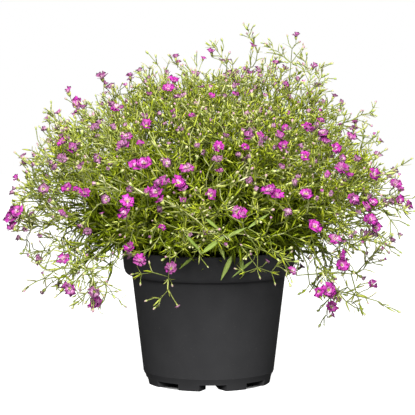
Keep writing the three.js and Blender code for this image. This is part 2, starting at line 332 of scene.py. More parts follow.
def fromAxis(across, height, depth):
    # the point at a depth that the camera sees where it sees this place of the upright plane through the pot
    nearer = 1 + depth / view["away"]
    camera = Vector((view["across"], 0, view["height"]))
    return camera + (Vector((across, 0, height)) - camera) * nearer + Vector((0, depth, 0))


def onSkin(across, height):
    # the point of the mound's skin that the camera sees there
    depth = -60
    for _ in range(30):
        at = fromAxis(across, height, depth)
        left = skinRadius(at) ** 2 - at.x**2 - (at.z - mound["centre"]) ** 2
        depth = -math.sqrt(max(left, 16))
    return fromAxis(across, height, depth)


def barred(at, draw):
    # growth keeps within its room and is thin in places
    outside = abs(at.x) > room["halfWidth"] or abs(at.y) > room["halfDepth"]
    low = at.z < room["lowest"] - 0.1 * min(0, at.y)
    onRim = at.z < room["rimTop"] and math.hypot(at.x, at.y) < room["rimRadius"]
    inFront = at.z < room["frontTop"] and at.y < room["frontDepth"] and abs(at.x) < room["frontHalf"]
    if outside or low or onRim or inFront:
        return True
    return draw() < swell(at, thinned)


def paintedShadeTone(at, draw):
    # painted shade: foliage is darker deep in the mound than out in the light, and painted light makes it
    # lighter on the left side
    out = clamp(1 + beyond(at) / paintedShadeToning["paintedShadeDepth"])
    side = clamp((paintedShadeToning["paintedLightFrom"] - at.x) / paintedShadeToning["paintedLightOver"])
    tone = shade["stem"] + paintedShadeToning["least"] + paintedShadeToning["side"] * side + paintedShadeToning["skin"] * out**1.4
    return tone + paintedShadeToning["chance"] * draw() * (0.25 + 0.75 * out)


def lateral(axis, hint):
    # a direction square to axis, as near to hint as there is
    side = hint - axis * hint.dot(axis)
    if side.length < 1e-4:
        side = axis.orthogonal()
    return side.normalized()


def atEdge(at):
    # how much a place lies out at the sides or hangs there, where each stem and leaf shows by itself
    share = max(0, abs(at.x) - flanks["from"]) / flanks["over"]
    if abs(at.x) > flanks["hangBeside"]:
        share += max(0, flanks["hangBelow"] - at.z) / flanks["hangOver"]
    return min(1, share)


def twig(points, thick, tone):
    stout = 1 + 0.35 * atEdge(points[-1])
    plant["twigs"].append((points, [wide * stout for wide in thick], tone))


def leaf(at, facing, back, length, width, draw):
    # back is the way the leaf's upper face looks, and it arches away from it
    facing = facing.normalized()
    kind = int(draw() * 5)
    plant["leaves"].append((at, facing, lateral(facing, back), length, width, kind, paintedShadeTone(at, draw)))


def leafPair(at, axis, side, length, draw, spread=0.8):
    # leaves are fewer and broader at the sides
    edge = atEdge(at)
    for sign in (1, -1):
        if draw() < growth["leafLoss"] + growth["leafLossSides"] * edge:
            continue
        facing = axis + side * sign * spread * (0.6 + 0.9 * draw()) + up * 0.15 + jitter(draw, 0.7)
        most = -beyond(at) * growth["leafPerDepth"]
        size = min(length * (0.7 + 0.6 * draw()), max(growth["leafLeast"], most))
        slim, share = growth["bractWidth"]
        width = (slim + share * size) * (0.85 + 0.3 * draw()) * (1 + 0.45 * edge)
        leaf(at, facing, axis - side * sign * 0.4, size, width, draw)


def stalk(at, facing, length, draw):
    # a hair-thin stalk, a little bowed; gives back its end and the way that it points there
    bow = lateral(facing, jitter(draw, 1)) * length * 0.14
    end = at + facing * length
    thin = growth["stalkThickness"]
    twig([at, at + facing * length * 0.5 + bow, end], [thin * 1.1, thin, thin * 1.3], 0.1 + 0.5 * draw())
    return end, (facing * length * 0.5 - bow).normalized()


def stalkAndBud(at, facing, length, draw, size=1.0):
    end, tip = stalk(at, facing, length, draw)
    side = lateral(tip, jitter(draw, 1))
    size *= pick(draw, growth["budSize"])
    plant["buds"].append((end, tip, side, size, int(draw() * 4), draw()))


def smallKind(draw, level=0.4):
    # which of the bloom shapes a small bloom takes: open, cupped or still half shut, with more cups up high
    share = draw() * (1 - 0.6 * level) + 0.6 * level
    return next(kind for kind, below in enumerate((0.22, 0.44, 0.52, 0.76, 0.93, 1.01)) if share < below)


def addBloom(neck, facing, size, kind, tone, draw):
    plant["blooms"].append((neck, facing, lateral(facing, jitter(draw, 1)), size, kind, tone))


def fork(at, axis, side, level, draw, reach, sag):
    # one forked step: a bowed twig, then a leaf pair, a stalk with a bud between, and two more forks
    last = len(growth["forkLength"]) - 1
    length = growth["forkLength"][level] * (0.7 + 0.6 * draw())
    thick = growth["stemThickness"][level]
    wander = jitter(draw, growth["wander"])
    aim = (axis + (at - centre).normalized() * 0.2 + up * (0.12 - sag) + wander).normalized()
    middle = at + axis * length * 0.5 + jitter(draw, 0.1) * length
    end = middle + aim * length * 0.5
    if barred(end, draw):
        return
    twig([at, middle, end], [thick, thick * 0.95, thick * 0.85], draw())
    plant["nodes"].append(end)
    side = lateral(aim, side + jitter(draw, 0.8))
    leafPair(end, aim, side, growth["bractLength"][level], draw)
    out = beyond(end)
    if out > -growth["pairsWithin"] and draw() < 0.75:
        leafPair(middle, axis, axis.cross(side), growth["bractLength"][level] * 0.8, draw, 0.9)
    if level == last or out > growth["skin"] + reach:
        for _ in range(int(draw() * 2.3)):
            wide = (aim + lateral(aim, jitter(draw, 1)) * 0.75 * draw()).normalized()
            stalkAndBud(end, wide, 4 + 6 * draw(), draw, 0.85)
        leafPair(end, aim, aim.cross(side), growth["bractLength"][-1] * 0.9, draw, 0.5)
        return
    wide = (aim + lateral(aim, jitter(draw, 1)) * 0.6 * draw()).normalized()
    if out > -growth["bloomsWithin"] and draw() < growth["bloomShare"]:
        neck, facing = stalk(end, wide, pick(draw, growth["stalkLength"]), draw)
        faded = draw() < growth["fadedShare"]
        size = 0.7 + 0.3 * draw()
        kind = 5 if faded else smallKind(draw, 0.8)
        addBloom(neck, facing, size, kind, 0.7 + 0.3 * draw(), draw)
    elif out > -growth["budsWithin"] and draw() < growth["budShare"]:
        stalkAndBud(end, wide, pick(draw, growth["stalkLength"]), draw)
    spread = math.tan(math.radians(growth["forkAngle"]))
    for sign in (1, -1):
        if draw() < growth["forkLoss"]:
            continue
        away = (aim + side * sign * spread * (0.6 + 0.8 * draw())).normalized()
        fork(end, away, away.cross(side), level + 1, draw, reach, sag)


def shoot(at, axis, length, draw, reach, sag):
    # a leafy side shoot, which forks and flowers where it comes near the mound's skin
    end = at + axis * length + up * length * 0.1
    if barred(end, draw):
        return
    middle = at.lerp(end, 0.5) + jitter(draw, 0.15) * length
    twig([at, middle, end], [0.75, 0.7, 0.65], draw())
    plant["nodes"].append(end)
    side = lateral(axis, jitter(draw, 1))
    leafPair(middle, axis, axis.cross(side), 14, draw, 0.9)
    leafPair(end, axis, side, 13, draw, 0.7)
    if beyond(end) > -growth["shootsForkWithin"]:
        fork(end, axis, side, 3 + int(draw() * 2), draw, reach, sag)
    else:
        leafPair(end, axis, axis.cross(side), 11, draw, 0.4)


def mainStem(i, k, draw):
    # a stem leaves its spray's root, spreads to its own place in the mound and forks there
    cu, cv = cells[i]
    around = k * golden + draw() * 1.5 + i
    far = growth["stemSpread"] * math.sqrt((k + 0.5) / growth["stemsPerSpray"])
    tu, tv = cu + far * math.cos(around), cv + far * math.sin(around)
    rim = math.hypot(tu, tv)
    if rim > growth["farthest"]:
        tu, tv = tu / rim * growth["farthest"], tv / rim * growth["farthest"]
    top = pick(draw, growth["firstFork"]) + 0.0055 * max(0, swell(place(1, tu, tv), outline))
    sway = [jitter(draw, growth["sway"]) for _ in range(5)]

    def along(s):
        t = min(1, s / 0.5)
        share = s / top * 4
        step = int(min(share, 3.999))
        bowed = sway[step].lerp(sway[step + 1], share - step) * min(1, s * 4)
        t = t * t * (3 - 2 * t)
        return place(s, cu + (tu - cu) * t, cv + (tv - cv) * t) + bowed

    steps = growth["stemNodes"]
    points = [along(top * n / steps) for n in range(steps + 1)]
    twig(points, [1.25 - 0.4 * n / steps for n in range(steps + 1)], draw() * 0.6)
    reach = growth["longReach"] if draw() < growth["longShare"] else -growth["unevenness"] * draw()
    shade["stem"] = growth["stemTones"] * (draw() - 0.5)
    sideways = abs(math.cos(math.atan2(tv, tu)))
    droop = growth["droopLeft"] if tu < 0 else growth["droopRight"]
    sag = droop * max(0, rim - growth["droopFrom"]) * sideways
    airy = rim > growth["airyFrom"] and tu > 0 and sideways > 0.5
    side = Vector((math.cos(around), math.sin(around), 0))
    for n in range(2, steps):
        axis = (points[n + 1] - points[n]).normalized()
        side = lateral(axis, axis.cross(side) + jitter(draw, 0.5))
        plant["nodes"].append(points[n])
        length = growth["leafBase"] + (growth["leafTop"] - growth["leafBase"]) * n / steps
        leafPair(points[n], axis, side, length * (0.6 if airy else 1), draw, 0.9)
        if n > 5 and not airy:
            leafPair(points[n].lerp(points[n + 1], 0.5), axis, axis.cross(side), length * 0.8, draw, 1.1)
        for sign in (1, -1):
            if draw() < (0.75 if airy else 0.3):
                continue
            away = (axis + side * sign * (0.6 + 0.7 * draw())).normalized()
            shoot(points[n], away, 7 + 13 * draw(), draw, reach, sag)
    axis = (points[-1] - points[-2]).normalized()
    fork(points[-1], axis, lateral(axis, side), 0, draw, reach, sag)


def stray(draw):
    # a longer, paler stem that wanders just under the skin, as many do
    at = plant["nodes"][int(draw() * len(plant["nodes"]))]
    least, most = growth["strayDepth"]
    if not -most < beyond(at) < -least or at.z < 100:
        return
    out = (at - centre).normalized()
    heading = lateral(out, jitter(draw, 1) + up * 0.25)
    length = pick(draw, growth["strayLength"])
    path, turn = [at], jitter(draw, 0.9)
    for n in range(1, 6):
        heading = (heading + turn * 0.4 + out * 0.1).normalized()
        path.append(path[-1] + heading * length / 5)
        lift = beyond(path[-1]) + 5 + 5 * draw()
        path[-1] -= (path[-1] - centre).normalized() * min(8, max(-8, lift)) * 0.7
    if any(barred(point, draw) for point in path[1:]):
        return
    twig(path, [0.9, 0.85, 0.8, 0.75, 0.72, 0.7], 0.5 + 0.4 * draw())
    side = lateral(heading, out)
    for n in (2, 4):
        axis = (path[n] - path[n - 1]).normalized()
        side = lateral(axis, side + jitter(draw, 0.6))
        leafPair(path[n], axis, side, 10 + 6 * draw(), draw, 0.8)
        stalkAndBud(path[n], (axis + side * 0.7).normalized(), 8 + 5 * draw(), draw)
        plant["nodes"].append(path[n])
    fork(path[-1], heading, side, 4, draw, 4, 0)


def nearestNode(target, least):
    # the nearest node that lies deeper in the mound than the target, or else the nearest of all
    depth = (target - centre).length
    best, found = 1e9, plant["nodes"][0]
    for at in plant["nodes"]:
        far = (at - target).length
        if far < best and far > least:
            if (at - centre).length < depth - 1 or far * 1.6 < best:
                best, found = far, at
    return found


def carry(neck, facing, draw):
    # a stalk from the nearest twig to the neck of a bloom; a long one arches over and has leaves and buds
    start = nearestNode(neck, 6)
    far = (neck - start).length
    lift = up * 0.22 * far if far > growth["longStalk"] else Vector()
    path = [start]
    for t in (0.3, 0.6, 0.85):
        straight = start.lerp(neck, t) + lift * 4 * t * (1 - t)
        path.append(straight - facing * far * 0.3 * t * t * (1 - t) + jitter(draw, 0.06) * far)
    path += [neck - facing * 1.2, neck]
    foot = 0.48 + min(0.35, far * 0.008)
    twig(path, [foot, foot, foot * 0.9, 0.5, 0.5, 0.55], 0.15 + 0.4 * draw())
    if far < growth["longStalk"]:
        return
    for at, before in ((path[1], path[0]), (path[2], path[1])):
        axis = (at - before).normalized()
        side = lateral(axis, jitter(draw, 1))
        leafPair(at, axis, side, 8, draw, 0.8)
        plant["nodes"].append(at)
        for sign in (1, -1):
            away = (axis + side * sign * (0.5 + 0.5 * draw())).normalized()
            if draw() < 0.6:
                stalkAndBud(at, away, 6 + 6 * draw(), draw)
                continue
            end = at + away * (7 + 6 * draw())
            twig([at, at.lerp(end, 0.5), end], [0.45, 0.42, 0.4], draw())
            leafPair(end, away, side.cross(away), 6, draw, 0.6)
            for spread in (0.6, 1.2):
                stalkAndBud(end, (away + jitter(draw, spread)).normalized(), 5 + 4 * draw(), draw)


# Blooms that show on the near side as the camera sees them: across and up, and how many stand together,
# where less than one is half open or half hidden; then those on tall sprigs
shownBlooms = [
    [-73, 210, 1.3], [-54, 212, 0.5], [-24, 207, 1], [1, 204, 0.6], [25, 216, 0.4], [52, 206, 0.5],
    [-96, 200, 1.4], [-86, 189, 1], [-66, 192, 0.6], [-41, 199, 0.5], [-22, 197, 0.5], [2, 198, 0.5],
    [18, 199, 0.4], [39, 198, 0.6], [86, 198, 0.5], [-111, 182, 0.5], [-78, 175, 1], [-64, 175, 0.8],
    [-43, 177, 1], [-12, 184, 0.6], [35, 171, 0.5], [53, 176, 0.6], [77, 181, 0.5], [-101, 154, 1],
    [-94, 161, 0.8], [-59, 163, 1], [-47, 165, 0.5], [7, 153, 1], [25, 163, 0.5], [28, 169, 1],
    [48, 169, 2], [67, 156, 0.7], [80, 165, 3], [70, 173, 1], [88, 160, 0.6], [92, 155, 0.5],
    [97, 168, 1], [102, 153, 1], [-51, 149, 2], [-29, 152, 0.6], [8, 146, 0.6], [50, 149, 0.5],
    [80, 142, 1], [98, 143, 0.6], [113, 144, 0.9], [-114, 134, 1], [-97, 134, 1.3], [-91, 133, 0.4],
    [-71, 127, 0.4], [-36, 131, 3.6], [-17, 132, 2], [-17, 126, 1], [1, 129, 1], [24, 116, 1],
    [42, 132, 1.3], [55, 118, 0.6], [67, 130, 1], [99, 126, 1], [113, 124, 2], [111, 112, 2],
    [131, 126, 3], [-136, 113, 2.6], [-101, 115, 1], [-57, 116, 1], [73, 107, 0.9], [110, 102, 0.7],
    [58, 77, 0.5], [-96, 65, 1], [-79, 63, 1], [-80, 54, 1.3], [76, 63, 1.6], [92, 81, 2],
]
sprigBlooms = [[2, 228], [30, 232], [60, 239], [46, 220], [72, 218], [-103, 186]]

# Sprigs that hang over the front of the rim: the path of each, and what stands on its points
hangingSprigs = [
    {
        "path": [(-25, -112, 99), (-26, -112, 87), (-26, -113, 80), (-31, -113, 74)],
        "ends": [
            (1, (-24, -114, 84), "bud"),
            (2, (-21, -114, 71), "bloom"),
            (3, (-39, -113, 73), "bud"),
            (3, (-34, -115, 69), "bud"),
        ],
    },
    {
        "path": [(-26, -112, 88), (-36, -113, 91), (-43, -113, 90)],
        "ends": [(1, (-38, -114, 96), "bud"), (2, (-48, -113, 90), "bud"), (2, (-44, -113, 85), "bud")],
    },
    {
        "path": [(32, -88, 102), (32, -90, 91), (24, -90, 88)],
        "ends": [(1, (33, -91, 86), "bud"), (1, (37, -91, 94), "bloom"), (2, (19, -90, 90), "bud")],
    },
    {
        "path": [(32, -90, 91), (41, -90, 88), (44, -89, 92), (49, -87, 97)],
        "ends": [(1, (43, -91, 82), "bud"), (2, (49, -90, 90), "bud"), (3, (53, -87, 100), "bud")],
    },
]


def hangSprig(sprig, draw):
    path = [Vector(point) for point in sprig["path"]]
    start = nearestNode(path[0], 0)
    twig([start] + path, [0.7] + [0.62 - 0.07 * n for n in range(len(path))], 0.5)
    side = Vector((1, 0, 0.3))
    for n, at in enumerate(path[1:], 1):
        axis = (at - path[n - 1]).normalized()
        side = lateral(axis, axis.cross(side) + Vector((0.8, 0, 0)))
        leafPair(at, axis, side, 8, draw, 0.8)
        leafPair(at, axis, axis.cross(side), 6, draw, 0.5)
    for n, spot, kind in sprig["ends"]:
        end = Vector(spot)
        facing = (end - path[n]).normalized()
        tip, aim = stalk(path[n], facing, (end - path[n]).length, draw)
        if kind == "bud":
            plant["buds"].append((tip, aim, lateral(aim, up), 1.0, 0, 0.7))
        else:
            addBloom(tip, aim, 0.5, 2, 0.6, draw)


# Broad leaves that lean over the rim: those that show in front, from base to tip, longer ones just above
# the rim, across and up as the camera sees them, each with its width and tone; then how many more there are
# all round, how wide and long they are, and how far out and how high they start
rimLeaves = {
    "front": [
        ((15.5, -68, 96.4), (8.1, -73, 80.1), 3.4, 0.62),
        ((29.8, -68, 93.5), (15.1, -74, 82.2), 1.7, 0.4),
        ((21.2, -68, 96), (23, -73, 83.5), 2.7, 0.25),
        ((-10.4, -68, 95.1), (-19.7, -73, 88.1), 2.2, 0.5),
    ],
    "long": [
        ((-5.5, 89), (13, 103), 3.2, 0.42),
        ((11, 100), (27, 108), 2.4, 0.36),
        ((27, 107), (43, 118), 2.2, 0.3),
        ((-16, 102), (-4, 89.5), 2, 0.2),
        ((-2, 113.5), (8, 105.5), 2.2, 0.4),
    ],
    "more": 38,
    "width": [1.9, 3.2],
    "length": [14, 25],
    "radius": [60, 68],
    "height": [97, 106],
}


def overRim(base):
    # the stalk of a broad leaf comes from the nearest twig higher up, clear of the rim
    start = nearestNode(base + up * 6, 5)
    twig([start, start.lerp(base, 0.5) + up * 2, base], [0.7, 0.6, 0.6], 0.5)


def addRimLeaf(base, reach, back, width, kind, tone):
    # reach is the leaf from its base to its tip
    facing = reach.normalized()
    plant["rimLeaves"].append((base, facing, lateral(facing, back), reach.length, width, kind, tone))


def leanLeaves(draw):
    for base, tip, width, tone in rimLeaves["front"]:
        base, tip = Vector(base), Vector(tip)
        out = Vector((base.x, base.y, 0)).normalized()
        addRimLeaf(base, tip - base, out + up * 0.4, width, 0, tone)
        overRim(base)
    for base, tip, width, tone in rimLeaves["long"]:
        base, tip = (fromAxis(*spot, onSkin(*spot).y + 5) for spot in (base, tip))
        addRimLeaf(base, tip - base, Vector((0.2, -1, 0.4)), width, 0, tone)
        start = nearestNode(base, 4)
        twig([start, start.lerp(base, 0.5) - up, base], [0.7, 0.6, 0.6], 0.5)
    for n in range(rimLeaves["more"]):
        around = math.tau * (n + draw()) / rimLeaves["more"]
        out = Vector((math.cos(around), math.sin(around), 0))
        base = out * pick(draw, rimLeaves["radius"]) + up * pick(draw, rimLeaves["height"])
        facing = out * (0.5 + draw()) + out.cross(up) * 1.4 * (draw() - 0.5) + up * (0.9 * draw() - 0.65)
        facing = facing.normalized()
        back = lateral(facing, out * 0.6 + up)
        length, width = pick(draw, rimLeaves["length"]), pick(draw, rimLeaves["width"])
        plant["rimLeaves"].append((base, facing, back, length, width, int(draw() * 4), draw()))
        overRim(base)


# Long stems that sweep out at both sides and hang there: how far in front of the pot's axis each starts
# and ends, and its way as the camera sees it, across and up
trailingStems = [
    {"depth": (-34, -20), "path": [(61, 74), (74, 75), (87, 76), (99, 75), (107, 78), (111, 84), (114, 89)]},
    {
        "depth": (-20, -44),
        "path": [(74, 89), (79, 80), (84, 71), (88, 63), (95, 62), (102, 60), (110, 58), (117, 56)],
    },
    {"depth": (-26, -40), "path": [(99, 74), (102, 63), (105, 54)]},
    {"depth": (-38, -30), "path": [(90, 62), (95, 56), (101, 52)]},
    {"depth": (-44, -36), "path": [(68, 82), (70, 68), (75, 62)]},
    {
        "depth": (-30, -16),
        "path": [(-66, 84), (-73, 79), (-88, 79), (-102, 79), (-112, 78), (-118, 82), (-122, 86)],
    },
    {"depth": (-22, -34), "path": [(-102, 79), (-107, 77), (-113, 72), (-119, 70), (-124, 67)]},
    {"depth": (-24, -38), "path": [(-100, 79), (-99, 74), (-96, 69), (-91, 62)]},
    {"depth": (-36, -44), "path": [(-80, 82), (-80, 68), (-86, 60), (-90, 56)]},
    {"depth": (-40, -46), "path": [(-80, 70), (-77, 63), (-70, 62)]},
]


def trail(stem, draw):
    (first, last), way = stem["depth"], stem["path"]
    steps = len(way) - 1
    path = [fromAxis(*spot, first + (last - first) * n / steps) for n, spot in enumerate(way)]
    start = nearestNode(path[0], 0)
    points = [start, start.lerp(path[0], 0.5) + up * 1.5] + path
    twig(points, [0.95 - 0.35 * n / len(points) for n in range(len(points))], 0.35 + 0.3 * draw())
    side = lateral(path[1] - path[0], Vector((0, -1, 0.5)))
    for n in range(1, steps + 1):
        axis = (path[n] - path[n - 1]).normalized()
        side = lateral(axis, axis.cross(side) + jitter(draw, 0.5))
        leafPair(path[n], axis, side, 12 - 4 * n / steps, draw, 0.6)
        if n < steps - 1:
            plant["nodes"].append(path[n])
        away = (axis + side * (0.5 + 0.5 * draw())).normalized()
        end = path[n] + away * (4 + 5 * draw())
        if barred(end, draw) or draw() < 0.45:
            continue
        twig([path[n], path[n].lerp(end, 0.5), end], [0.5, 0.46, 0.42], 0.5 * draw())
        leafPair(end, away, axis.cross(side), 7, draw, 0.5)
        stalkAndBud(end, (away + jitter(draw, 0.8)).normalized(), 4 + 4 * draw(), draw)
    stalkAndBud(path[-1], (axis + jitter(draw, 0.6)).normalized(), 4 + 3 * draw(), draw)


def tallSprig(across, height, depth, draw):
    # a zigzag stem with leaf pairs, and at each joint a bud on one side and a forked twig on the other
    tip = fromAxis(across, height, depth)
    start = nearestNode(tip, 16)
    axis = (tip - start).normalized()
    far = (tip - start).length
    side = lateral(axis, jitter(draw, 1))
    zigzag = [start.lerp(tip, t) + side * sign * 0.03 * far for t, sign in ((0.3, 1), (0.56, -1), (0.78, 1))]
    path = [start, *zigzag, tip - axis * 4]
    twig(path, [0.8, 0.72, 0.64, 0.56, 0.5], 0.5)
    for n, at in enumerate(path[1:-1]):
        side = axis.cross(side)
        less = 1 - 0.24 * n
        leafPair(at, axis, side, 7.5 - n, draw, 0.6)
        beside = (axis + side * 0.7 + jitter(draw, 0.4)).normalized()
        stalkAndBud(at, beside, (5 + 4 * draw()) * less, draw, 0.85)
        away = (axis - side * (0.6 + 0.3 * draw())).normalized()
        end = at + away * (4 + 5 * draw()) * less
        twig([at, at.lerp(end, 0.5) + side * 0.6, end], [0.55, 0.5, 0.46], 0.5)
        leafPair(end, away, axis.cross(side), 5, draw, 0.6)
        stalkAndBud(end, (away + jitter(draw, 0.6)).normalized(), (4 + 4 * draw()) * less, draw, 0.85)
    plant["buds"].append((tip - axis * 4, axis, side, 1.4, 0, 0.5))


# Sizes of the blooms as a share of their shape's: the least of the large ones and what chance adds, small
# ones on the near and on the far side, and those on tall sprigs; then in millimetres how far the neck of
# each lies below its heart and how far apart blooms of a group stand. overPot is where small ones would hide
# the pot
bloomSizes = {
    "large": [0.91, 0.12],
    "near": 0.62,
    "far": 0.74,
    "sprig": 0.78,
    "largeNeck": 3.2,
    "neck": 2.6,
    "sprigNeck": 2.4,
    "apart": 6.5,
}
overPot = {"nearerThan": 20, "lowest": 70, "below": 93, "half": 62}


def group(at, many, draw):
    # a few blooms on stalks of one twig, close enough to touch
    turn = math.tau * draw()
    for n in range(max(1, round(many))):
        size = 0.72 if many < 0.7 else 0.92 + 0.2 * draw()
        around = turn + n * 2.2
        aside = Vector((math.cos(around), 0.5 * (draw() - 0.5), math.sin(around)))
        spot = at + aside * (0 if n == 0 else bloomSizes["apart"])
        level = clamp((at.z - 100) / 100)
        toCamera = 0.4 - 0.3 * level + 0.5 * abs(at.x) / 140
        facing = (at - centre).normalized() * 0.6 + Vector((0, -toCamera, 0.5 + 0.4 * level))
        facing = (facing + jitter(draw, 1.2)).normalized()
        neck = spot - facing * bloomSizes["neck"]
        carry(neck, facing, draw)
        tone = (0.45 if many > 1.2 else 0.85) * draw() + (0.25 if at.x < -60 else 0) * draw()
        addBloom(neck, facing, size, smallKind(draw, level), tone, draw)


def growPlant():
    draw = randomFrom(growth["seed"])
    for i in range(mound["sprays"]):
        cu, cv = cells[i]
        more = growth["moreStemsSides"] * (abs(cu) > 0.55) + growth["moreStemsFront"] * (cv < -0.45)
        more += growth["moreStemsTop"] * (math.hypot(cu, cv) < 0.5)
        more += round(swell(place(1, cu, cv), fuller))
        for k in range(growth["stemsPerSpray"] + more):
            mainStem(i, k, randomFrom(growth["seed"] * 1000 + i * 20 + k))
    for stem in trailingStems:
        trail(stem, draw)
    large = [largeBloom(n, across, height) for n, (across, height) in enumerate(largeBlooms)]
    small = [bloom for i in range(mound["sprays"]) for bloom in smallBlooms(i, large)]
    for _ in range(growth["strays"] * 3):
        stray(draw)
    for bloom in large:
        toCamera = 0.3 if bloom["centre"].z > 100 else 0.8
        facing = bloom["facing"] + Vector((0, -toCamera, 0.2 + 0.5 * draw()))
        facing = (facing + jitter(draw, 1.0)).normalized()
        neck = bloom["centre"] - facing * bloomSizes["largeNeck"]
        carry(neck, facing, draw)
        least, more = bloomSizes["large"]
        addBloom(neck, facing, least + more * draw(), -1 - int(draw() * 4), 0.4 * draw(), draw)
    for bloom in small:
        spot = bloom["centre"]
        low = spot.z < overPot["lowest"] or (spot.z < overPot["below"] and abs(spot.x) < overPot["half"])
        if spot.y < overPot["nearerThan"] and low:
            continue
        near = spot.y < -10
        size = bloom["size"] * bloomSizes["near" if near else "far"] * (0.85 + 0.35 * draw())
        facing = (bloom["facing"] * 0.5 + up * 0.6 + jitter(draw, 1.0)).normalized()
        neck = spot - facing * bloomSizes["neck"]
        carry(neck, facing, draw)
        addBloom(neck, facing, size, 5 if near and draw() < 0.45 else smallKind(draw), draw(), draw)
    for across, height, many in shownBlooms:
        group(onSkin(across, height), many, draw)
    for n, (across, height) in enumerate(sprigBlooms):
        heart = fromAxis(across, height, -8 + 18 * math.sin(2.4 * n))
        facing = ((heart - centre).normalized() + jitter(draw, 0.9) + Vector((0, -0.3, 0))).normalized()
        neck = heart - facing * bloomSizes["sprigNeck"]
        carry(neck, facing, draw)
        addBloom(neck, facing, bloomSizes["sprig"], 3 + int(draw() * 2), 0.5 * draw(), draw)
    for across, height, depth in tallSprigs + moreSprigs:
        tallSprig(across, height, depth, draw)
    for sprig in hangingSprigs:
        hangSprig(sprig, draw)
    leanLeaves(draw)


growPlant()
print("plant grown:", {name: len(found) for name, found in plant.items()})


# Meshes from lists, and pieces from meshes
def meshFrom(name, points, edges=(), faces=(), values=None, vectors=None):
    mesh = bpy.data.meshes.new(name)
    mesh.from_pydata([tuple(p) for p in points], [tuple(e) for e in edges], [tuple(f) for f in faces])
    for key, numbers in (values or {}).items():
        mesh.attributes.new(key, "FLOAT", "POINT").data.foreach_set("value", [float(n) for n in numbers])
    for key, arrows in (vectors or {}).items():
        flat = [part for arrow in arrows for part in arrow]
        mesh.attributes.new(key, "FLOAT_VECTOR", "POINT").data.foreach_set("vector", flat)
    return mesh


def newObject(name, mesh, collection=None):
    thing = bpy.data.objects.new(name, mesh)
    (collection or bpy.context.scene.collection).objects.link(thing)
    return thing


def discard(thing):
    mesh = thing.data
    bpy.data.objects.remove(thing)
    bpy.data.meshes.remove(mesh)


def adder(tree):
    # gives back a function that adds a node to a tree, sets it up and links or fills its inputs
    def add(kind, inputs=None, **settings):
        node = tree.nodes.new(kind)
        for key, value in settings.items():
            setattr(node, key, value)
        for key, value in (inputs or {}).items():
            if isinstance(value, bpy.types.NodeSocket):
                tree.links.new(value, node.inputs[key])
            else:
                node.inputs[key].default_value = value
        return node

    return add


def newTree(name, inputs):
    # a Geometry Nodes tree with named inputs; gives back what is needed to fill it
    tree = bpy.data.node_groups.new(name, "GeometryNodeTree")
    tree.interface.new_socket("Geometry", in_out="INPUT", socket_type="NodeSocketGeometry")
    sockets = {}
    for label, kind, value in inputs:
        socket = tree.interface.new_socket(label, in_out="INPUT", socket_type=kind)
        if value is not None:
            socket.default_value = value
        sockets[label] = socket.identifier
    tree.interface.new_socket("Geometry", in_out="OUTPUT", socket_type="NodeSocketGeometry")
    return tree, sockets, tree.nodes.new("NodeGroupInput").outputs, adder(tree)


def finishTree(add, geometry, material):
    smooth = add("GeometryNodeSetShadeSmooth", {"Geometry": geometry, "Shade Smooth": True})
    real = add("GeometryNodeRealizeInstances", {"Geometry": smooth.outputs["Geometry"]})
    dressed = add("GeometryNodeSetMaterial", {"Geometry": real.outputs["Geometry"], "Material": material})
    add("NodeGroupOutput", {"Geometry": dressed.outputs["Geometry"]})


def twigTree():
    inputs = [
        ("Sides", "NodeSocketInt", 3),
        ("Thickness", "NodeSocketFloat", 1.0),
        ("Material", "NodeSocketMaterial", None),
    ]
    tree, sockets, given, add = newTree("twigs along lines", inputs)
    thick = add("GeometryNodeInputNamedAttribute", {"Name": "thick"}, data_type="FLOAT").outputs["Attribute"]
    curve = add("GeometryNodeMeshToCurve", {"Mesh": given["Geometry"]})
    profile = add("GeometryNodeCurvePrimitiveCircle", {"Resolution": given["Sides"], "Radius": 0.5 * mm})
    settings = {
        "Curve": curve.outputs["Curve"],
        "Profile Curve": profile.outputs["Curve"],
        "Scale": add("ShaderNodeMath", {0: thick, 1: given["Thickness"]}, operation="MULTIPLY").outputs[0],
        "Fill Caps": True,
    }
    finishTree(add, add("GeometryNodeCurveToMesh", settings).outputs["Mesh"], given["Material"])
    return tree, sockets


def scatterTree():
    inputs = [
        ("Shapes", "NodeSocketCollection", None),
        ("Size", "NodeSocketFloat", 1.0),
        ("Material", "NodeSocketMaterial", None),
    ]
    tree, sockets, given, add = newTree("shapes on points", inputs)

    def read(name, kind):
        return add("GeometryNodeInputNamedAttribute", {"Name": name}, data_type=kind).outputs["Attribute"]

    choice = {"Collection": given["Shapes"], "Separate Children": True, "Reset Children": True}
    axes = {"Primary Axis": read("facing", "FLOAT_VECTOR"), "Secondary Axis": read("side", "FLOAT_VECTOR")}
    turn = add("FunctionNodeAxesToRotation", axes, primary_axis="Z", secondary_axis="X")
    scale = {0: read("size", "FLOAT_VECTOR"), "Scale": given["Size"]}
    settings = {
        "Points": given["Geometry"],
        "Instance": add("GeometryNodeCollectionInfo", choice).outputs["Instances"],
        "Pick Instance": True,
        "Instance Index": read("kind", "INT"),
        "Rotation": turn.outputs["Rotation"],
        "Scale": add("ShaderNodeVectorMath", scale, operation="SCALE").outputs["Vector"],
    }
    copies = add("GeometryNodeInstanceOnPoints", settings)
    finishTree(add, copies.outputs["Instances"], given["Material"])
    return tree, sockets


def finalMesh(thing):
    # the mesh that the modifiers of an object give
    bpy.context.view_layer.update()
    return bpy.data.meshes.new_from_object(thing.evaluated_get(bpy.context.evaluated_depsgraph_get()))


def grown(name, mesh, treeAndSockets, settings):
    # runs a tree on a mesh and gives back the result as a plain object
    tree, sockets = treeAndSockets
    thing = newObject(name, mesh)
    modifier = thing.modifiers.new("grow", "NODES")
    modifier.node_group = tree
    for label, value in settings.items():
        modifier[sockets[label]] = value
    made = finalMesh(thing)
    thing.modifiers.remove(modifier)
    thing.data = made
    made.name = name
    made.validate()
    return thing


def triangles(thing):
    return sum(len(face.vertices) - 2 for face in thing.data.polygons)


# Materials
white = (1, 1, 1)
black = (0, 0, 0)


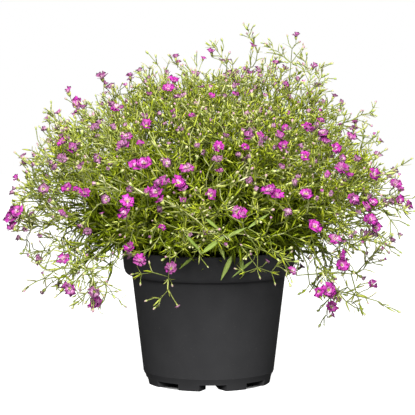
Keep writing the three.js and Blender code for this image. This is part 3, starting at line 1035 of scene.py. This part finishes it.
def newMaterial(name, roughness, specular):
    # a material and the functions that fill it
    material = bpy.data.materials.new(name)
    material.use_nodes = True
    tree = material.node_tree
    add = adder(tree)
    shader = tree.nodes["Principled BSDF"]
    shader.inputs["Roughness"].default_value = roughness
    shader.inputs["Specular IOR Level"].default_value = specular

    def number(operation, *values):
        return add("ShaderNodeMath", dict(enumerate(values)), operation=operation).outputs[0]

    def ramp(value, *stops):
        node = add("ShaderNodeValToRGB", {"Fac": value})
        band = node.color_ramp
        while len(band.elements) < len(stops):
            band.elements.new(0.5)
        for element, (at, colour) in zip(band.elements, stops):
            element.position = at
            element.color = (*colour, 1)
        return node.outputs["Color"]

    def mix(share, a, b, kind="MIX"):
        a, b = (value if isinstance(value, bpy.types.NodeSocket) else (*value, 1) for value in (a, b))
        return add("ShaderNodeMix", {0: share, 6: a, 7: b}, data_type="RGBA", blend_type=kind).outputs[2]

    def read(name):
        return add("ShaderNodeAttribute", attribute_name=name).outputs["Fac"]

    def grain(scale):
        where = add("ShaderNodeTexCoord").outputs["Object"]
        return add("ShaderNodeTexNoise", {"Vector": where, "Scale": scale, "Detail": 4}).outputs["Fac"]

    def bump(height, strength, distance):
        node = add("ShaderNodeBump", {"Height": height, "Strength": strength, "Distance": distance})
        tree.links.new(node.outputs["Normal"], shader.inputs["Normal"])

    def colour(first, *layers):
        # the layers are multiplied over the first colour in turn
        for layer in layers:
            first = mix(1.0, first, layer, "MULTIPLY")
        tree.links.new(first, shader.inputs["Base Color"])

    def rough(value):
        tree.links.new(value, shader.inputs["Roughness"])

    helpers = {"add": add, "number": number, "ramp": ramp, "mix": mix, "read": read, "grain": grain}
    return material, SimpleNamespace(**helpers, bump=bump, colour=colour, rough=rough)


# Looks that are layers of colour multiplied over one another. Each layer follows a value of the mesh, or a
# grain where a number gives its scale. The shine is how rough the surface is and how much it mirrors, and
# the bump has its grain's scale, its strength and its depth in metres
layered = {
    "leaf": {
        "shine": (0.65, 0.12),
        "bump": (900, 0.25, 0.0003),
        # the low tones are the painted shade of leaves deep in the mound, and the left side's painted light
        # raises the tone
        "tone": [
            (0, (0.062, 0.085, 0.001)),
            (0.3, (0.19, 0.248, 0.002)),
            (0.58, (0.38, 0.43, 0.026)),
            (0.85, (0.45, 0.47, 0.14)),
            (1, (0.56, 0.54, 0.34)),
        ],
        "along": [(0, (0.7, 0.75, 0.55)), (0.45, white), (1, (1, 0.95, 0.7))],
        160: [(0.3, (0.75, 0.8, 0.75)), (0.7, white)],
    },
    "rim leaf": {
        "shine": (0.55, 0.25),
        "bump": (1100, 0.2, 0.0003),
        "tone": [(0, (0.1, 0.15, 0.02)), (0.5, (0.18, 0.24, 0.04)), (1, (0.31, 0.37, 0.1))],
        "across": [(0, (1.15, 1.12, 1.2)), (0.25, white), (1, (0.85, 0.9, 0.75))],
        220: [(0.3, (0.8, 0.84, 0.8)), (0.7, white)],
    },
    "stem": {
        "shine": (0.55, 0.25),
        "bump": (1200, 0.2, 0.0002),
        "tone": [(0, (0.1, 0.13, 0.012)), (0.5, (0.21, 0.255, 0.055)), (1, (0.39, 0.42, 0.18))],
        120: [(0.35, (0.85, 0.8, 0.7)), (0.7, white)],
    },
    "peat": {
        "shine": (0.95, 0.1),
        "bump": (500, 0.8, 0.001),
        240: [(0.3, (0.012, 0.008, 0.005)), (0.55, (0.035, 0.022, 0.013)), (0.75, (0.075, 0.048, 0.028))],
        1100: [(0.35, (0.6, 0.6, 0.6)), (0.7, white)],
    },
}


def layeredMaterial(name):
    look = dict(layered[name])
    material, m = newMaterial(name, *look.pop("shine"))
    scale, strength, depth = look.pop("bump")
    layers = []
    for source, stops in look.items():
        follows = m.read(source) if isinstance(source, str) else m.grain(source)
        layers.append(m.ramp(follows, *stops))
    m.colour(*layers)
    m.bump(m.grain(scale), strength, depth)
    return material


# Colours of the calyx from the stalk to the bud's mouth, and of the petals that show in it
budLook = {
    "calyx": [
        (0, (0.17, 0.24, 0.04)),
        (0.5, (0.31, 0.37, 0.1)),
        (0.8, (0.45, 0.44, 0.21)),
        (1, (0.5, 0.42, 0.3)),
    ],
    "pink": [(0.35, (0.30, 0.33, 0.10)), (0.65, (0.40, 0.25, 0.28)), (1, (0.40, 0.15, 0.30))],
}


def budMaterial():
    material, m = newMaterial("bud", 0.5, 0.25)
    calyx = m.ramp(m.read("along"), *budLook["calyx"])
    pink = m.ramp(m.read("along"), *budLook["pink"])
    share = m.ramp(m.read("tone"), (0.52, black), (0.8, white))
    patchy = m.ramp(m.grain(400), (0.3, (0.75, 0.8, 0.7)), (0.7, white))
    m.colour(m.mix(share, calyx, pink), patchy)
    m.bump(m.grain(1500), 0.15, 0.0002)
    return material


# Colours of the petals, from the heart of a bloom out, as it fades, and on the petal's back from its foot
petalLook = {
    "heart": (0.46, 0.42, 0.24),
    "pale": (0.54, 0.34, 0.46),
    "magenta": (0.29, 0.022, 0.215),
    "tip": (0.25, 0.018, 0.19),
    "lilac": (0.25, 0.1, 0.19),
    "dusky": (0.18, 0.075, 0.12),
    "backFoot": (0.40, 0.38, 0.2),
    "backPale": (0.43, 0.27, 0.33),
    "backTip": (0.24, 0.06, 0.17),
}


def petalMaterial():
    material, m = newMaterial("petal", 0.6, 0.2)
    along, tone = m.read("along"), m.read("tone")

    def coloured(*stops):
        return m.ramp(along, *((at, petalLook[name]) for at, name in stops))

    fresh = coloured((0.08, "heart"), (0.24, "pale"), (0.44, "magenta"), (1, "tip"))
    faded = coloured((0.1, "heart"), (0.36, "pale"), (0.62, "lilac"), (1, "dusky"))
    fade = m.number("MULTIPLY_ADD", m.read("tint"), 0.45, tone)
    mixed = m.mix(m.ramp(fade, (0.42, black), (0.9, white)), fresh, faded)
    back = coloured((0.16, "backFoot"), (0.5, "backPale"), (0.8, "lilac"), (1, "backTip"))
    mixed = m.mix(m.read("under"), mixed, back)
    wave = m.number("COSINE", m.number("MULTIPLY", m.read("across"), 14.0))
    layers = [
        m.ramp(wave, (0, white), (0.9, (0.84, 0.66, 0.84))),
        m.ramp(m.grain(420), (0.34, (0.66, 0.48, 0.64)), (0.54, white), (0.72, (1.12, 1.3, 1.15))),
        m.ramp(tone, (0.12, (1.38, 1.38, 1.38)), (0.45, (0.95, 0.95, 0.95))),
    ]
    for layer in layers:
        mixed = m.mix(1.0, mixed, layer, "MULTIPLY")
    m.colour(m.mix(m.read("green"), mixed, (0.32, 0.36, 0.09)))
    m.bump(wave, 0.25, 0.0001)
    return material


def potMaterial():
    # satin black plastic with a fine moulded grain, and flecks of peat dust all over it
    material, m = newMaterial("pot", 0.5, 0.015)
    base = m.ramp(m.grain(60), (0.3, (0.0215, 0.0215, 0.0225)), (0.7, (0.025, 0.025, 0.026)))
    fleck = m.ramp(m.grain(700), (0.66, black), (0.74, (0.25, 0.25, 0.25)))
    m.colour(m.mix(fleck, base, (0.075, 0.07, 0.062)))
    m.rough(m.ramp(m.grain(35), (0.3, (0.5, 0.5, 0.5)), (0.7, (0.64, 0.64, 0.64))))
    m.bump(m.grain(1400), 0.12, 0.0002)
    return material


# Shapes that are repeated, facing up Z: leaves are one millimetre long, buds and blooms have their full size
def circle(radius, count, z):
    turns = [math.tau * j / count for j in range(count)]
    return [(radius * math.cos(turn), radius * math.sin(turn), z) for turn in turns]


def skinOver(rings, alongs, start, end):
    # a closed skin through rings of equally many points, with a tip at each end
    points, along, faces = [], [], []
    count = len(rings[0])
    for ring, a in zip(rings, alongs):
        points += ring
        along += [a] * count
    for k in range(len(rings) - 1):
        for j in range(count):
            a, b = k * count + j, k * count + (j + 1) % count
            faces.append((a, b, b + count, a + count))
    for tip, base, flip in ((start, 0, True), (end, (len(rings) - 1) * count, False)):
        points.append(tip)
        along.append(0 if flip else 1)
        last = len(points) - 1
        for j in range(count):
            a, b = base + j, base + (j + 1) % count
            faces.append((b, a, last) if flip else (a, b, last))
    return points, faces, along


def shapeMesh(name, points, faces, values):
    return meshFrom(name, [(x * mm, y * mm, z * mm) for x, y, z in points], faces=faces, values=values)


def leafRing(corners, t, bend, twist):
    # the corners across a leaf at one place along it, twisted and bent
    turn = Matrix.Rotation(twist * t, 2)
    return [(spot.x, spot.y + bend * t * t, t) for spot in (turn @ Vector(corner) for corner in corners)]


def leafShape(bend, stations, twist):
    # a narrow lance with a keel: left edge, right edge and the rib underneath
    rings = []
    for t in stations:
        half = 0.5 * math.sin(math.pi * min(1, 0.12 + t * 0.86) ** 0.85) ** 0.7
        rings.append(leafRing(((-half, 0), (0, -0.34 * half), (half, 0)), t, bend, twist))
    points, faces, along = skinOver(rings, stations, (0, 0, 0), (0, bend, 1))
    return shapeMesh("leaf", points, faces, {"along": along})


def broadLeafShape(bend, twist):
    # a lance with a folded blade: five points across the upper face and a rib below
    stations = (0.06, 0.2, 0.38, 0.58, 0.78, 0.92)
    folds = ((-1, 0.16), (-0.5, 0.05), (0, -0.05), (0.5, 0.05), (1, 0.16), (0, -0.14))
    rings = []
    for t in stations:
        half = 0.5 * math.sin(math.pi * t**0.72) ** 1.05 + 0.02
        rings.append(leafRing([(x * half, lift * half * 2) for x, lift in folds], t, bend, twist))
    points, faces, along = skinOver(rings, stations, (0, 0, 0), (0, bend, 1))
    faces = [(face[1], face[0], *reversed(face[2:])) for face in faces]
    across = [abs(x) for x, lift in folds] * len(stations) + [0, 0]
    return shapeMesh("leaf", points, faces, {"along": along, "across": across})


# Shapes of the bud: how wide its foot, its waist and its mouth are, and how long it is
budKinds = [
    {"radii": [0.42, 0.72, 0.5], "length": 3.0},
    {"radii": [0.34, 0.58, 0.4], "length": 2.6},
    {"radii": [0.45, 0.85, 0.7], "length": 3.3},
    {"radii": [0.4, 0.7, 0.95], "length": 3.8},
]


def budShape(kind):
    length, alongs = kind["length"], (0.14, 0.48, 0.8)
    rings = [circle(r, 5, t * length) for t, r in zip(alongs, kind["radii"])]
    points, faces, along = skinOver(rings, alongs, (0, 0, 0), (0, 0, length))
    return shapeMesh("bud", points, faces, {"along": along})


# Shapes of the bloom in millimetres and degrees: how wide the calyx is, then rings of petals, each with how
# many, how far they rise from the flat, how long and broad they are, how far they curl back, and how much of
# their colour they show
bloomKinds = [
    (1.0, [(5, 16, 5.3, 5.1, 25, 1), (5, 38, 4.7, 4.3, 15, 0.85), (4, 62, 3.6, 3.1, 0, 0.5)]),
    (1.0, [(5, 30, 5.4, 5.0, 35, 1), (5, 52, 4.7, 4.1, 20, 0.8), (3, 72, 3.5, 3.0, 0, 0.45)]),
    (1.0, [(5, 22, 5.3, 5.1, 65, 1), (5, 46, 4.7, 4.3, 40, 0.75), (3, 68, 3.6, 3.2, 5, 0.4)]),
    (1.05, [(5, 50, 5.4, 5.2, 40, 1), (4, 64, 4.7, 4.2, 20, 0.8)]),
    (1.2, [(5, 64, 5.4, 4.7, 45, 1), (4, 76, 4.5, 3.6, 20, 0.8)]),
    (1.3, [(5, 72, 4.7, 3.5, 20, 0.72), (2, 84, 3.6, 2.4, 0, 0.6)]),
]

petalForm = {
    "fine": {"stations": [0, 0.2, 0.45, 0.7, 0.9, 1], "columns": [-1, -0.5, 0, 0.5, 1]},
    "plain": {"stations": [0, 0.35, 0.75, 1], "columns": [-1, 0, 1]},
    "breadth": [(0, 0.14), (0.2, 0.24), (0.45, 0.55), (0.7, 0.9), (0.9, 1.0), (1, 0.85)],
    "thick": 0.24,
    "notch": 0.17,
    "corner": 0.1,
}


def between(pairs, t):
    for (t0, v0), (t1, v1) in zip(pairs, pairs[1:]):
        if t <= t1:
            return v0 + (v1 - v0) * (t - t0) / (t1 - t0)
    return pairs[-1][1]


def petalSpine(rise, length, curl, stations):
    # distance from the axis, height and slope at each station: up out of the calyx, then over
    spine, r, z, done = [], 0.6, 2.6, 0.0
    for t in stations:
        while done < t - 1e-6:
            step = min(0.05, t - done)
            slope = math.radians(84 + (rise - 84) * min(1, done / 0.4) - curl * done * done)
            r += math.cos(slope) * step * length
            z += math.sin(slope) * step * length
            done += step
        spine.append((r, z, math.radians(84 + (rise - 84) * min(1, t / 0.4) - curl * t * t)))
    return spine


def addPetal(skin, turn, rise, length, width, curl, show, form, ruffle, tint):
    # a notched petal as a thin closed skin: an upper and a lower sheet that meet at the edge
    points, faces, along, across, under, tints = skin
    stations, columns = form["stations"], form["columns"]
    spine = petalSpine(rise, length, curl, stations)
    spin = Matrix.Rotation(turn, 3, "Z")
    sheets = []
    for lower in (0, 1):
        rows = []
        for row, (t, (r, z, slope)) in enumerate(zip(stations, spine)):
            line = []
            for c, x in enumerate(columns):
                if lower and (c in (0, len(columns) - 1) or row in (0, len(stations) - 1)):
                    line.append(sheets[0][row][c])
                    continue
                back = 0
                if t == 1:
                    back = length * (petalForm["notch"] if x == 0 else petalForm["corner"] * (abs(x) == 1))
                wave = ruffle * math.cos(math.pi * 2 * x + turn * 3) * t * t + 0.35 * x * x * t * (1 - t)
                depth = wave - (petalForm["thick"] if lower else 0)
                out = r - back * math.cos(slope) - depth * math.sin(slope)
                lift = z - back * math.sin(slope) + depth * math.cos(slope)
                points.append(spin @ Vector((out, x * width * 0.5 * between(petalForm["breadth"], t), lift)))
                along.append(t * show)
                across.append(x)
                under.append(lower)
                tints.append(tint)
                line.append(len(points) - 1)
            rows.append(line)
        sheets.append(rows)
    for lower, rows in enumerate(sheets):
        for row in range(len(stations) - 1):
            for c in range(len(columns) - 1):
                quad = (rows[row][c], rows[row + 1][c], rows[row + 1][c + 1], rows[row][c + 1])
                faces.append(quad if lower else tuple(reversed(quad)))


def addPlain(skin, green, part, share):
    # a closed part that isn't a petal, such as the calyx, and how green it is
    points, faces, along, across, under, tints = skin
    more, moreFaces, moreAlong = part
    base = len(points)
    green += [0.0] * (base - len(green)) + [share] * len(more)
    points += [Vector(p) for p in more]
    faces += [tuple(base + n for n in face) for face in moreFaces]
    along += moreAlong
    across += [0.0] * len(more)
    under += [0] * len(more)
    tints += [0.0] * len(more)


def spike(foot, tip, wide):
    # a small three-sided spike
    axis = (tip - foot).normalized()
    side = lateral(axis, up)
    other = axis.cross(side)
    turns = (0, math.tau / 3, 2 * math.tau / 3)
    ring = [foot + (side * math.cos(a) + other * math.sin(a)) * wide for a in turns]
    return ring + [tip], [(0, 1, 3), (1, 2, 3), (2, 0, 3), (2, 1, 0)], [0.0, 0.0, 0.0, 1.0]


def bloomShape(kind, seed, fine):
    draw = randomFrom(seed)
    form = petalForm["fine" if fine else "plain"]
    wide, rings = kind
    skin, green = ([], [], [], [], [], []), []
    turn = draw()
    for count, rise, length, width, curl, show in rings:
        for n in range(count):
            own = turn + math.tau * (n + 0.5 * (draw() - 0.5)) / count
            size = 0.74 + 0.42 * draw()
            tilt = rise + 44 * (draw() - 0.5)
            ruffle = 0.55 if fine else 0.4
            addPetal(skin, own, tilt, length * size, width * size, curl, show, form, ruffle, draw())
        turn += math.pi / count
    sides = 8 if fine else 5
    cup = [circle(r * wide, sides, z) for z, r in ((0.4, 0.5), (1.7, 0.95), (3.3, 1.2))]
    addPlain(skin, green, skinOver(cup, [0, 0.4, 0.8], (0, 0, 0), (0, 0, 2.8)), 1.0)
    if fine:
        for n in range(5):
            away = Vector((math.cos(math.tau * n / 5), math.sin(math.tau * n / 5), 0))
            addPlain(skin, green, spike(away + up * 2.9, away * 1.7 + up * 4.3, 0.35), 1.0)
            tilt = Vector((math.cos(2.6 * n + 1), math.sin(2.6 * n + 1), 0))
            thread = spike(tilt * 0.3 + up * 2.9, tilt * (1 + 0.2 * n % 3) + up * 6.2, 0.14)
            addPlain(skin, green, thread, 0.35)
    points, faces, along, across, under, tints = skin
    green += [0.0] * (len(points) - len(green))
    values = {"along": along, "across": across, "under": under, "green": green, "tint": tints}
    return meshFrom("bloom", [p * mm for p in points], faces=faces, values=values)


# Pieces
sprayNames = [f"spray_{n + 1:02d}" for n in range(mound["sprays"])]
bloomNames = [f"bloom_{n + 1:02d}" for n in range(len(largeBlooms))]


def finishPiece(thing, nodes):
    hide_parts(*nodes)
    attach(thing, "root")
    print(thing.name, "triangles:", triangles(thing))


def makeTwigs():
    points, edges, thick, tones = [], [], [], []
    for line, widths, tone in plant["twigs"]:
        base = len(points)
        points += [p * mm for p in line]
        thick += widths
        tones += [tone] * len(line)
        edges += [(base + n, base + n + 1) for n in range(len(line) - 1)]
    mesh = meshFrom("stems", points, edges, values={"thick": thick, "tone": tones})
    settings = {"Sides": 3, "Thickness": 1.0, "Material": layeredMaterial("stem")}
    finishPiece(grown("stems", mesh, twigTree(), settings), sprayNames)


def scatterPiece(name, rows, meshes, material, nodes):
    # a piece of copies of a few meshes; rows hold: place, facing, side, size (x, y, z), kind, tone
    places, facings, beside, sizes, kinds, tones = zip(*rows)
    vectors = {"facing": facings, "side": beside, "size": sizes}
    base = meshFrom(name, [place * mm for place in places], values={"tone": tones}, vectors=vectors)
    base.attributes.new("kind", "INT", "POINT").data.foreach_set("value", kinds)
    shapes = bpy.data.collections.new(name + "Shape")
    originals = [newObject(f"{name}Shape{n}", mesh, shapes) for n, mesh in enumerate(meshes)]
    thing = grown(name, base, scatter, {"Shapes": shapes, "Size": 1.0, "Material": material})
    for original in originals:
        discard(original)
    bpy.data.collections.remove(shapes)
    finishPiece(thing, nodes)


def leafRow(row):
    at, facing, back, length, width, kind, tone = row
    return at, facing, lateral(facing, back.cross(facing)), (width, width, length), kind, tone


def evenRow(row):
    at, facing, side, size, kind, tone = row
    return at, facing, side, (size, size, size), kind, tone


# How the narrow leaves are bent, and their classes by how far they stand above the mound's skin: the places
# along the blade that have a ring of points, how much they bend and how much wider they are
leafBends = (-0.05, -0.14, -0.24, 0.06, -0.34)
leafClasses = {
    "inner": {"stations": (0.45,), "bend": 8, "wider": 1.5},
    "middle": {"above": -52, "stations": (0.3, 0.7), "bend": 10, "wider": 1},
    "outer": {"above": -30, "stations": (0.2, 0.5, 0.8), "bend": 8, "wider": 1},
}
broadLeafKinds = ((-0.5, 0.3), (-1.2, -0.4), (-2.0, 0.5), (0.3, -0.2))


def makeLeaves():
    rows = {name: [] for name in leafClasses}
    for row in sorted(plant["leaves"], key=lambda row: row[0].x):
        depth = beyond(row[0])
        name = "outer" if depth > leafClasses["outer"]["above"] else "middle"
        if depth < leafClasses["middle"]["above"]:
            name = "inner"
        rows[name].append(leafRow((*row[:4], row[4] * leafClasses[name]["wider"], *row[5:])))
    material = layeredMaterial("leaf")
    for name, given in leafClasses.items():
        half = len(rows[name]) // 2
        for side, some in (("left", rows[name][:half]), ("right", rows[name][half:])):
            shapes = []
            for n, bend in enumerate(leafBends):
                shapes.append(leafShape(bend * given["bend"], given["stations"], 0.25 * n - 0.5))
            scatterPiece(f"leaves_{name}_{side}", some, shapes, material, sprayNames)
    shapes = [broadLeafShape(*kind) for kind in broadLeafKinds]
    broad = [leafRow(row) for row in plant["rimLeaves"]]
    scatterPiece("leaves_rim", broad, shapes, layeredMaterial("rim leaf"), sprayNames)


def makeBuds():
    rows = [evenRow(row) for row in plant["buds"]]
    shapes = [budShape(kind) for kind in budKinds]
    scatterPiece("buds", rows, shapes, budMaterial(), sprayNames)


def makeBlooms():
    # the large ones were given kinds below nought
    material = petalMaterial()
    rows = [evenRow(row) for row in plant["blooms"]]
    small = [row for row in rows if row[4] >= 0]
    shapes = [bloomShape(kind, 40 + n, False) for n, kind in enumerate(bloomKinds)]
    scatterPiece("blooms_small", small, shapes, material, sprayNames)
    large = [(*row[:4], -1 - row[4], row[5]) for row in rows if row[4] < 0]
    shapes = [bloomShape(kind, 60 + n, True) for n, kind in enumerate(bloomKinds[:4])]
    scatterPiece("blooms", large, shapes, material, bloomNames)


scatter = scatterTree()
makeTwigs()
makeLeaves()
makeBuds()
makeBlooms()


# The pot and the soil: outlines as radius and height, then the channels and drains under the foot
pot = {
    "segments": 128,
    "outside": [
        (0, 0), (42.6, 0), (42.9, 0.3), (43.9, 5.8), (44.9, 7.2), (45.3, 8.5), (45.46, 8.7),
        (45.36, 8.95), (45.5, 10), (53.05, 74.4), (53.3, 75.4), (56.9, 76.3), (57.7, 77.1), (58.8, 80),
        (59.7, 90), (60, 92.4), (59.8, 93.5), (59.2, 94), (58.4, 93.7),
    ],
    "inside": [(57.5, 80.6), (55.4, 78.6), (51.5, 76.2), (43.9, 10), (41.3, 1.6), (0, 1.6)],
    "channels": 8,
    "firstChannel": 4 - 90,
    "channelPlan": [(12, 2.7), (33, 4.4), (46.9, 11.8)],
    "channelHeight": 4.4,
    "ridge": 1.4,
    "ridgeHeights": (0.3, 5.8),
    "ridgeEnd": 42.7,
    "drainAt": 25,
    "drainRadius": 2.6,
}
soil = {
    "segments": 96,
    "gap": 0.5,
    "lift": 0.3,
    "top": [
        (57.2, 82), (57.2, 85), (54, 85.3), (48, 85.5), (42, 85.7), (36, 85.9), (30, 86), (24, 86.1),
        (18, 86.2), (12, 86.3), (6, 86.4), (0, 86.5),
    ],
    "lumpsAbove": 84.9,
    "lumps": 1.3,
    "crumbs": 420,
    "crumbHeight": 86.7,
    "crumbRadius": 56,
    "crumbSize": [0.6, 1.6],
}


def lathe(name, outline, segments, bump=None):
    # turns an outline that starts and ends on the axis
    rings = []
    for r, z in outline[1:-1]:
        ring = [Vector(spot) for spot in circle(r, segments, z)]
        rings.append([(spot + (bump(spot) if bump else Vector())) * mm for spot in ring])
    start, end = (Vector((0, 0, outline[n][1])) * mm for n in (0, -1))
    points, faces, _ = skinOver(rings, [0] * len(rings), start, end)
    return newObject(name, meshFrom(name, points, faces=faces))


def prism(plan, low, high):
    # a block over a flat plan, anticlockwise seen from above
    count = len(plan)
    points = [(x * mm, y * mm, z * mm) for z in (low, high) for x, y in plan]
    faces = [tuple(reversed(range(count))), tuple(range(count, 2 * count))]
    faces += [(j, (j + 1) % count, count + (j + 1) % count, count + j) for j in range(count)]
    return points, faces


def joined(name, parts):
    points, faces = [], []
    for more, moreFaces in parts:
        base = len(points)
        points += more
        faces += [tuple(base + n for n in face) for face in moreFaces]
    return newObject(name, meshFrom(name, points, faces=faces))


def channelTurns():
    # the way that each channel runs from the middle
    return [math.radians(pot["firstChannel"] + 360 / pot["channels"] * k) for k in range(pot["channels"])]


def arcPoints(radius, turns, x=0, y=0):
    return [(x + radius * math.cos(turn), y + radius * math.sin(turn)) for turn in turns]


def channelBlocks(grow, end, low, high):
    # radial blocks under the foot; with an end they stop on a circle, as the ridges do at the wall
    parts = []
    plan = [(r, half + grow) for r, half in pot["channelPlan"]]
    plan[0] = (plan[0][0] - grow, plan[0][1])
    if end:
        (r1, h1), (r2, h2) = plan[1], plan[2]
        half = h1 + (h2 - h1) * (end - r1) / (r2 - r1)
        angle = math.asin(half / end)
        plan = plan[:2]
    for turn in channelTurns():
        right = [(r, -half) for r, half in plan]
        left = [(r, half) for r, half in reversed(plan)]
        arc = arcPoints(end, [angle * t / 4 for t in range(-4, 5)]) if end else []
        outline = [Matrix.Rotation(turn, 2) @ Vector(p) for p in right + arc + left]
        parts.append(prism([(p.x, p.y) for p in outline], low, high))
    return parts


def combined(thing, tool, operation):
    # carries out a boolean on the mesh and removes the tool
    modifier = thing.modifiers.new("cut", "BOOLEAN")
    modifier.operation = operation
    modifier.object = tool
    modifier.solver = "EXACT"
    modifier.use_self = True
    made = finalMesh(thing)
    thing.modifiers.remove(modifier)
    old, thing.data = thing.data, made
    bpy.data.meshes.remove(old)
    discard(tool)


def smoothByAngle(thing, degrees):
    thing.data.shade_smooth()
    thing.data.set_sharp_from_angle(angle=math.radians(degrees))


def makePot():
    thing = lathe("pot_shell", pot["outside"] + pot["inside"], pot["segments"])
    ridges = channelBlocks(pot["ridge"], pot["ridgeEnd"], *pot["ridgeHeights"])
    combined(thing, joined("ridges", ridges), "UNION")
    combined(thing, joined("channels", channelBlocks(0, None, -2, pot["channelHeight"])), "DIFFERENCE")
    drains = []
    for turn in channelTurns():
        x, y = Vector((math.cos(turn), math.sin(turn))) * pot["drainAt"]
        corners = [turn + math.tau * j / 24 for j in range(24)]
        drains.append(prism(arcPoints(pot["drainRadius"], corners, x, y), 0.5, 8))
    combined(thing, joined("drains", drains), "DIFFERENCE")
    smoothByAngle(thing, 28)
    thing.data.materials.append(potMaterial())
    finishPiece(thing, ["pot"])


def makeSoil():
    inside = [(r - soil["gap"], z + soil["lift"]) for r, z in reversed(pot["inside"][:-1])]
    outline = [(0, inside[0][1])] + inside + soil["top"]

    def lump(spot):
        if spot.z < soil["lumpsAbove"]:
            return Vector()
        fade = min(1, (57.5 - Vector((spot.x, spot.y)).length) / 4)
        return up * soil["lumps"] * fade * (noise.noise(spot * 0.22) + 0.5 * noise.noise(spot * 0.6))

    thing = lathe("soil_block", outline, soil["segments"], lump)
    ridgeTop = pot["ridgeHeights"][1] + soil["lift"]
    ridgeRoom = channelBlocks(pot["ridge"] + soil["lift"], pot["ridgeEnd"] + 2, 0, ridgeTop)
    combined(thing, joined("ridgeRoom", ridgeRoom), "DIFFERENCE")
    smoothByAngle(thing, 40)
    peat = layeredMaterial("peat")
    thing.data.materials.append(peat)
    finishPiece(thing, ["soil"])

    draw = randomFrom(31)
    rows = []
    for _ in range(soil["crumbs"]):
        around, r = math.tau * draw(), soil["crumbRadius"] * math.sqrt(draw())
        height = soil["crumbHeight"] - 1.4 * (r / 57) ** 2
        spot = Vector((r * math.cos(around), r * math.sin(around), height))
        least, more = soil["crumbSize"]
        size = least + more * draw() ** 2
        facing = jitter(draw, 2).normalized()
        side = lateral(facing, jitter(draw, 1))
        rows.append((spot, facing, side, (size, size * 0.8, size * 0.7), int(draw() * 2), draw()))
    scatterPiece("soil_crumbs", rows, [crumbShape(5), crumbShape(9)], peat, ["soil"])


def crumbShape(seed):
    draw = randomFrom(seed)
    made = bmesh.new()
    bmesh.ops.create_icosphere(made, subdivisions=1, radius=1 * mm)
    for corner in made.verts:
        corner.co *= 0.75 + 0.5 * draw()
    mesh = bpy.data.meshes.new("crumb")
    made.to_mesh(mesh)
    made.free()
    return mesh


makePot()
makeSoil()


# Camera, light and floor
lamps = [
    {"name": "key", "at": (-0.06, -1.65, 1.02), "size": 0.8, "power": 86},
    {"name": "top", "at": (0.1, -0.25, 1.5), "size": 1.1, "power": 26},
]

# Strength of the light all round and of what the camera sees behind the part, and the paper that it stands
# on: its glow, and in metres its half width, the radius of the painted shadow under the pot, where the paper
# doesn't glow, and half the gap in that painted shadow
light = {
    "world": 0.13,
    "backdrop": 1.0,
    "paperGlow": 1.0,
    "paper": 1.6,
    "paintedShadowRadius": 0.0415,
    "paintedShadowGap": 0.011,
}


def turnedTo(target, place):
    return (target - place).to_track_quat("-Z", "Y").to_euler()


def makeCamera():
    camera = newObject("camera", bpy.data.cameras.new("camera"))
    camera.data.lens = view["lens"]
    camera.data.sensor_width = 36
    camera.data.clip_end = 200
    camera.location = (view["across"] * mm, -view["away"] * mm, view["height"] * mm)
    camera.rotation_euler = turnedTo(Vector((view["across"] * mm, 0, view["aim"] * mm)), camera.location)
    bpy.context.scene.camera = camera


def makeLight():
    world = bpy.data.worlds.new("studio")
    world.use_nodes = True
    add, nodes = adder(world.node_tree), world.node_tree.nodes
    nodes["Background"].inputs["Color"].default_value = (1, 1, 1, 1)
    nodes["Background"].inputs["Strength"].default_value = light["world"]
    backdrop = add("ShaderNodeBackground", {"Color": (1, 1, 1, 1), "Strength": light["backdrop"]})
    seen = add("ShaderNodeLightPath").outputs["Is Camera Ray"]
    shown = add("ShaderNodeMixShader", {0: seen, 1: nodes["Background"].outputs[0], 2: backdrop.outputs[0]})
    world.node_tree.links.new(shown.outputs[0], nodes["World Output"].inputs["Surface"])
    bpy.context.scene.world = world
    bpy.context.scene.view_settings.view_transform = "Standard"

    for given in lamps:
        lamp = bpy.data.lights.new(given["name"], "AREA")
        lamp.size = given["size"]
        lamp.energy = given["power"]
        thing = newObject(given["name"], lamp)
        thing.location = given["at"]
        thing.rotation_euler = turnedTo(Vector((0, 0, 0.13)), Vector(given["at"]))


def makeFloor():
    # white paper that glows for the camera alone, except in the painted shadow under the pot, a round patch
    # with no glow but for a strip across its middle
    wide = light["paper"]
    corners = [(-wide, -wide, 0), (wide, -wide, 0), (wide, wide, 0), (-wide, wide, 0)]
    floor = newObject("floor", meshFrom("floor", corners, faces=[(0, 1, 2, 3)]))
    material, m = newMaterial("paper", 0.9, 0.1)
    m.colour(m.ramp(m.grain(3), (0, (0.29, 0.29, 0.29)), (1, (0.31, 0.31, 0.31))))
    seen = m.number("MULTIPLY", m.add("ShaderNodeLightPath").outputs["Is Camera Ray"], light["paperGlow"])
    where = m.add("ShaderNodeTexCoord").outputs["Object"]
    away = m.add("ShaderNodeVectorMath", {0: where}, operation="LENGTH").outputs["Value"]
    aside = m.number("ABSOLUTE", m.add("ShaderNodeSeparateXYZ", {0: where}).outputs["X"])
    # painted shadow: no glow within this radius under the pot, except in a strip down the middle
    paintedShadowDisc = m.number("LESS_THAN", away, light["paintedShadowRadius"])
    paintedShadowMask = m.number("MULTIPLY", paintedShadowDisc, m.number("GREATER_THAN", aside, light["paintedShadowGap"]))
    strength = m.number("MULTIPLY", seen, m.number("SUBTRACT", 1.0, paintedShadowMask))
    glow = m.add("ShaderNodeEmission", {"Strength": strength})
    nodes = material.node_tree.nodes
    both = m.add("ShaderNodeAddShader", {0: nodes["Principled BSDF"].outputs[0], 1: glow.outputs[0]})
    material.node_tree.links.new(both.outputs[0], nodes["Material Output"].inputs["Surface"])
    floor.data.materials.append(material)


makeCamera()
makeLight()
makeFloor()
print("camera, light and floor made")
